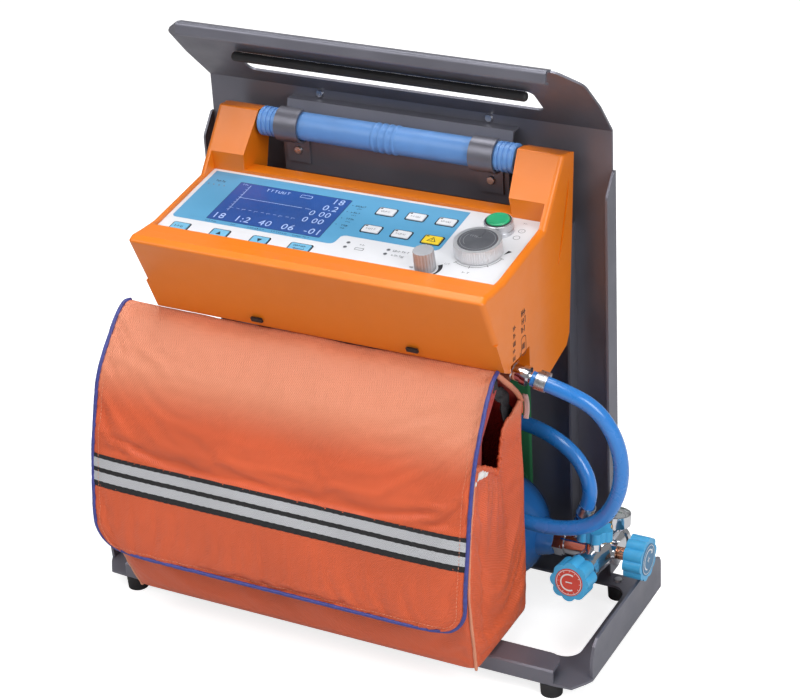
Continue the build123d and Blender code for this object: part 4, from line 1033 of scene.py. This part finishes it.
# woven tape across the flap: black, silver, black, silver, black
tape_verts = []
k0, k1 = kind_rows.index(1), kind_rows.index(6)
for k in range(k0, k1 + 1):
    for u in range(NU + 1):
        i = k * (NU + 1) + u
        edge = 0.0003 if k in (k0, k1) else 0.0007
        tape_verts.append(grid[i] + flap_normal[i] * outward * edge)
tape_faces = grid_faces(k1 - k0 + 1, NU + 1, across=False)
tape_ids = [1 if kind_rows[k] in (2, 4) else 0 for k in range(k0, k1) for u in range(NU)]
tape = mesh("flap_tape", tape_verts, tape_faces, [m_tape_black, m_tape_silver], "bag_flap", ids=tape_ids)

# piping sewn round the flap
edge = [gp(k, 0) for k in range(1, NR)] + [gp(NR - 1, u) for u in range(1, NU)]
edge += [gp(k, NU) for k in range(NR - 1, 0, -1)]
edge = smooth_line(edge[::2] + [edge[-1]], 420)
piping = tube("flap_piping", edge, 0.00175, m_piping, "bag_flap", wobble=0.12)

# stitched line inside the piping
def stitches(name, line, inward, mat, body, lift=0.0008, step=0.0034, length=0.0022, r=0.00022):
    pts = smooth_line(line, max(20, int(sum((b - a).length for a, b in zip(line, line[1:])) / step)))
    v, f = [], []
    for a, b in zip(pts, pts[1:]):
        d = (b - a).normalized()
        s = a + d * 0.0006
        e = s + d * length
        nn = inward(a)
        side = d.cross(nn).normalized()
        base = len(v)
        for q, h in ((s, 0), (s.lerp(e, 0.5), r * 1.6), (e, 0)):
            for t in (-1, 0, 1):
                v.append(q + side * r * t + nn * (lift + h + (r if t == 0 else 0)))
        for j in (0, 3):
            f += [(base + j, base + j + 1, base + j + 4, base + j + 3),
                  (base + j + 1, base + j + 2, base + j + 5, base + j + 4)]
    return mesh(name, v, f, mat, body)


tree = KDTree(len(grid))
for i, g in enumerate(grid):
    tree.insert(g, i)
tree.balance()


def flap_out(p):
    return flap_normal[tree.find(p)[1]] * outward


inner = [gp(k, 2) for k in range(3, NR - 3)] + [gp(NR - 4, u) for u in range(3, NU - 2)]
inner += [gp(k, NU - 2) for k in range(NR - 4, 3, -1)]
stitched = stitches("flap_stitching", inner[::3] + [inner[-1]], flap_out, m_binding, "bag_flap")

# welts down the front corners, and the ruffled binding round the side openings
tube("welt_right", smooth_line(right_front[::3], 120), 0.0014, m_binding, wobble=0.3)
tube("welt_left", smooth_line(left_front[::3], 120), 0.0014, m_binding, wobble=0.3)
g0 = NF + 1 + NC - 1
right_edge = [top_ring[i] for i in range(NF - 1, g0 + NG + 1)]
ruffle = []
for i, p in enumerate(smooth_line(right_edge, 150)):
    ruffle.append(p + Vector((0.0011 * sin(i * 0.9) * noise.noise(Vector((i * 0.05, 0, 0))) * 2, 0,
                              0.0006 * sin(i * 0.6))))
tube("binding_right", ruffle, 0.0026, m_bag, flat=0.7, wobble=0.12)
l0 = g0 + NG + 1 + NC - 1 + NF + 1 + NC - 1
left_edge = [top_ring[i % n] for i in range(l0, l0 + NG + NC + 1)]
tube("binding_left", smooth_line(left_edge, 120), 0.0024, m_bag, flat=0.7, wobble=0.12)
for side, x in (("right", BR - 2.2), ("left", BL + 2.2)):
    line = [P(x, y, z) for y, z in top_profile[4:]]
    tube("roof_edge_" + side, smooth_line(line, 60), 0.0024, m_bag, flat=0.7, wobble=0.15)

# crumpled inner strap, seen through the side opening
strap_line = [P(152, -156, 275), P(150.5, -150, 266), P(148.5, -141, 258), P(149, -131, 248), P(147, -125, 236),
              P(148, -121, 222), P(146, -123, 206), P(147, -128, 186)]
pts = smooth_line(strap_line, 60)
verts = []
for k, p in enumerate(pts):
    turn = 0.5 * noise.noise(Vector((k * 0.09, 4, 1)))
    for j in range(7):
        s = (j - 3) / 3
        crumple = 1.6 * noise.noise(Vector((k * 0.22, j * 0.6, 2)))
        verts.append(p + Vector(((crumple - 1.5 * abs(s) * turn) / 1000, 7.5 * s * cos(turn) / 1000,
                                 (7.5 * s * sin(turn) + crumple) / 1000)))
inner_strap = mesh("bag_inner_strap", verts, grid_faces(len(pts), 7), m_inner_strap)
apply(inner_strap, "SOLIDIFY", thickness=0.0015, offset=0)

# fold of the red lining that hangs just inside the opening, and a little white padding on it
verts = []
for k in range(31):
    z = 74 + 205 * k / 30
    for j in range(17):
        f = j / 16
        y = mix(front_y, min(z, 219)) + 8 + 58 * f * (1 - 0.25 * k / 30)
        if z > 219:
            y += (z - 219) * 0.75
        x = 151 - 17 * f * f + 2.2 * noise.noise(Vector((k * 0.16, j * 0.3, 5)))
        verts.append(P(x, y, z))
pleat = mesh("bag_lining_fold", verts, grid_faces(31, 17), m_lining)
apply(pleat, "SOLIDIFY", thickness=0.0012, offset=0)
pad_line = [P(153.5, -203, 206), P(154, -195, 209), P(153, -186, 208), P(152, -178, 203)]
tube("bag_white_padding", smooth_line(pad_line, 24), 0.0042, m_face, wobble=0.6)

# pale tab sewn to the rear corner
tab_line = [P(158.4, -109.6, 242), P(158.9, -108.0, 237), P(159.1, -107.4, 231), P(159.0, -107.6, 225),
            P(158.4, -108.6, 219)]
pts = smooth_line(tab_line, 24)
verts = []
for k, p in enumerate(pts):
    for j in range(5):
        verts.append(p + Vector(((j - 2) * 1.1 / 1000, 0, 0.0004 * sin(k * 0.7))))
tab = mesh("bag_side_tab", verts, grid_faces(len(pts), 5), m_tab)
apply(tab, "SOLIDIFY", thickness=0.0012, offset=0)

# ---- floor and light
floor_v = [(-6 + i * 0.5, -6 + j * 0.5, -0.0002) for i in range(25) for j in range(25)]
# the floor is lit by the lamps, and glows a little to the camera alone
m_floor = noisy(Mat("pale_floor", (0.60, 0.60, 0.60), 0.7).vary(2, 0.01), (40, 0.0005, 0.05))
fn, fl = m_floor.node_tree.nodes, m_floor.node_tree.links
glow = fn.new("ShaderNodeEmission")
ray = fn.new("ShaderNodeLightPath")
times = fn.new("ShaderNodeMath")
times.operation = "MULTIPLY"
times.inputs[1].default_value = 0.78
fl.new(ray.outputs["Is Camera Ray"], times.inputs[0])
fl.new(times.outputs[0], glow.inputs[1])
both = fn.new("ShaderNodeAddShader")
fl.new(fn["Principled BSDF"].outputs[0], both.inputs[0])
fl.new(glow.outputs[0], both.inputs[1])
fl.new(both.outputs[0], fn["Material Output"].inputs[0])
floor_me = bpy.data.meshes.new("floor")
floor_me.from_pydata(floor_v, [], grid_faces(25, 25, across=False))
floor_me.materials.append(m_floor)
floor = bpy.data.objects.new("floor", floor_me)
link(floor)

# soft grey light on the object, white behind it to the camera alone
world = bpy.data.worlds.new("studio")
world.use_nodes = True
wn, wl = world.node_tree.nodes, world.node_tree.links
bg = wn["Background"]
bg.inputs[0].default_value = (1, 1, 1, 1)
bg.inputs[1].default_value = 0.27
seen = wn.new("ShaderNodeBackground")
seen.inputs[0].default_value = (1, 1, 1, 1)
seen.inputs[1].default_value = 1.05
path = wn.new("ShaderNodeLightPath")
mixer = wn.new("ShaderNodeMixShader")
wl.new(path.outputs["Is Camera Ray"], mixer.inputs[0])
wl.new(bg.outputs[0], mixer.inputs[1])
wl.new(seen.outputs[0], mixer.inputs[2])
wl.new(mixer.outputs[0], wn["World Output"].inputs[0])
bpy.context.scene.world = world


def area(name, at, aim, size, power):
    data = bpy.data.lights.new(name, "AREA")
    data.shape = "RECTANGLE"
    data.size, data.size_y = size
    data.energy = power
    o = link(bpy.data.objects.new(name, data))
    o.location = at
    o.rotation_euler = (Vector(aim) - Vector(at)).to_track_quat("-Z", "Y").to_euler()


area("key", (0.25, -0.45, 1.95), (0, 0, 0.25), (1.1, 0.8), 17)
area("side", (1.75, -0.7, 1.0), (0, 0, 0.25), (0.7, 1.2), 20)
area("fill", (-0.75, -1.05, 1.45), (0, 0, 0.2), (1.3, 0.9), 10)
area("top", (-0.15, 0.6, 1.85), (0, 0, 0.35), (1.2, 0.6), 13)
bpy.context.scene.view_settings.view_transform = "Standard"
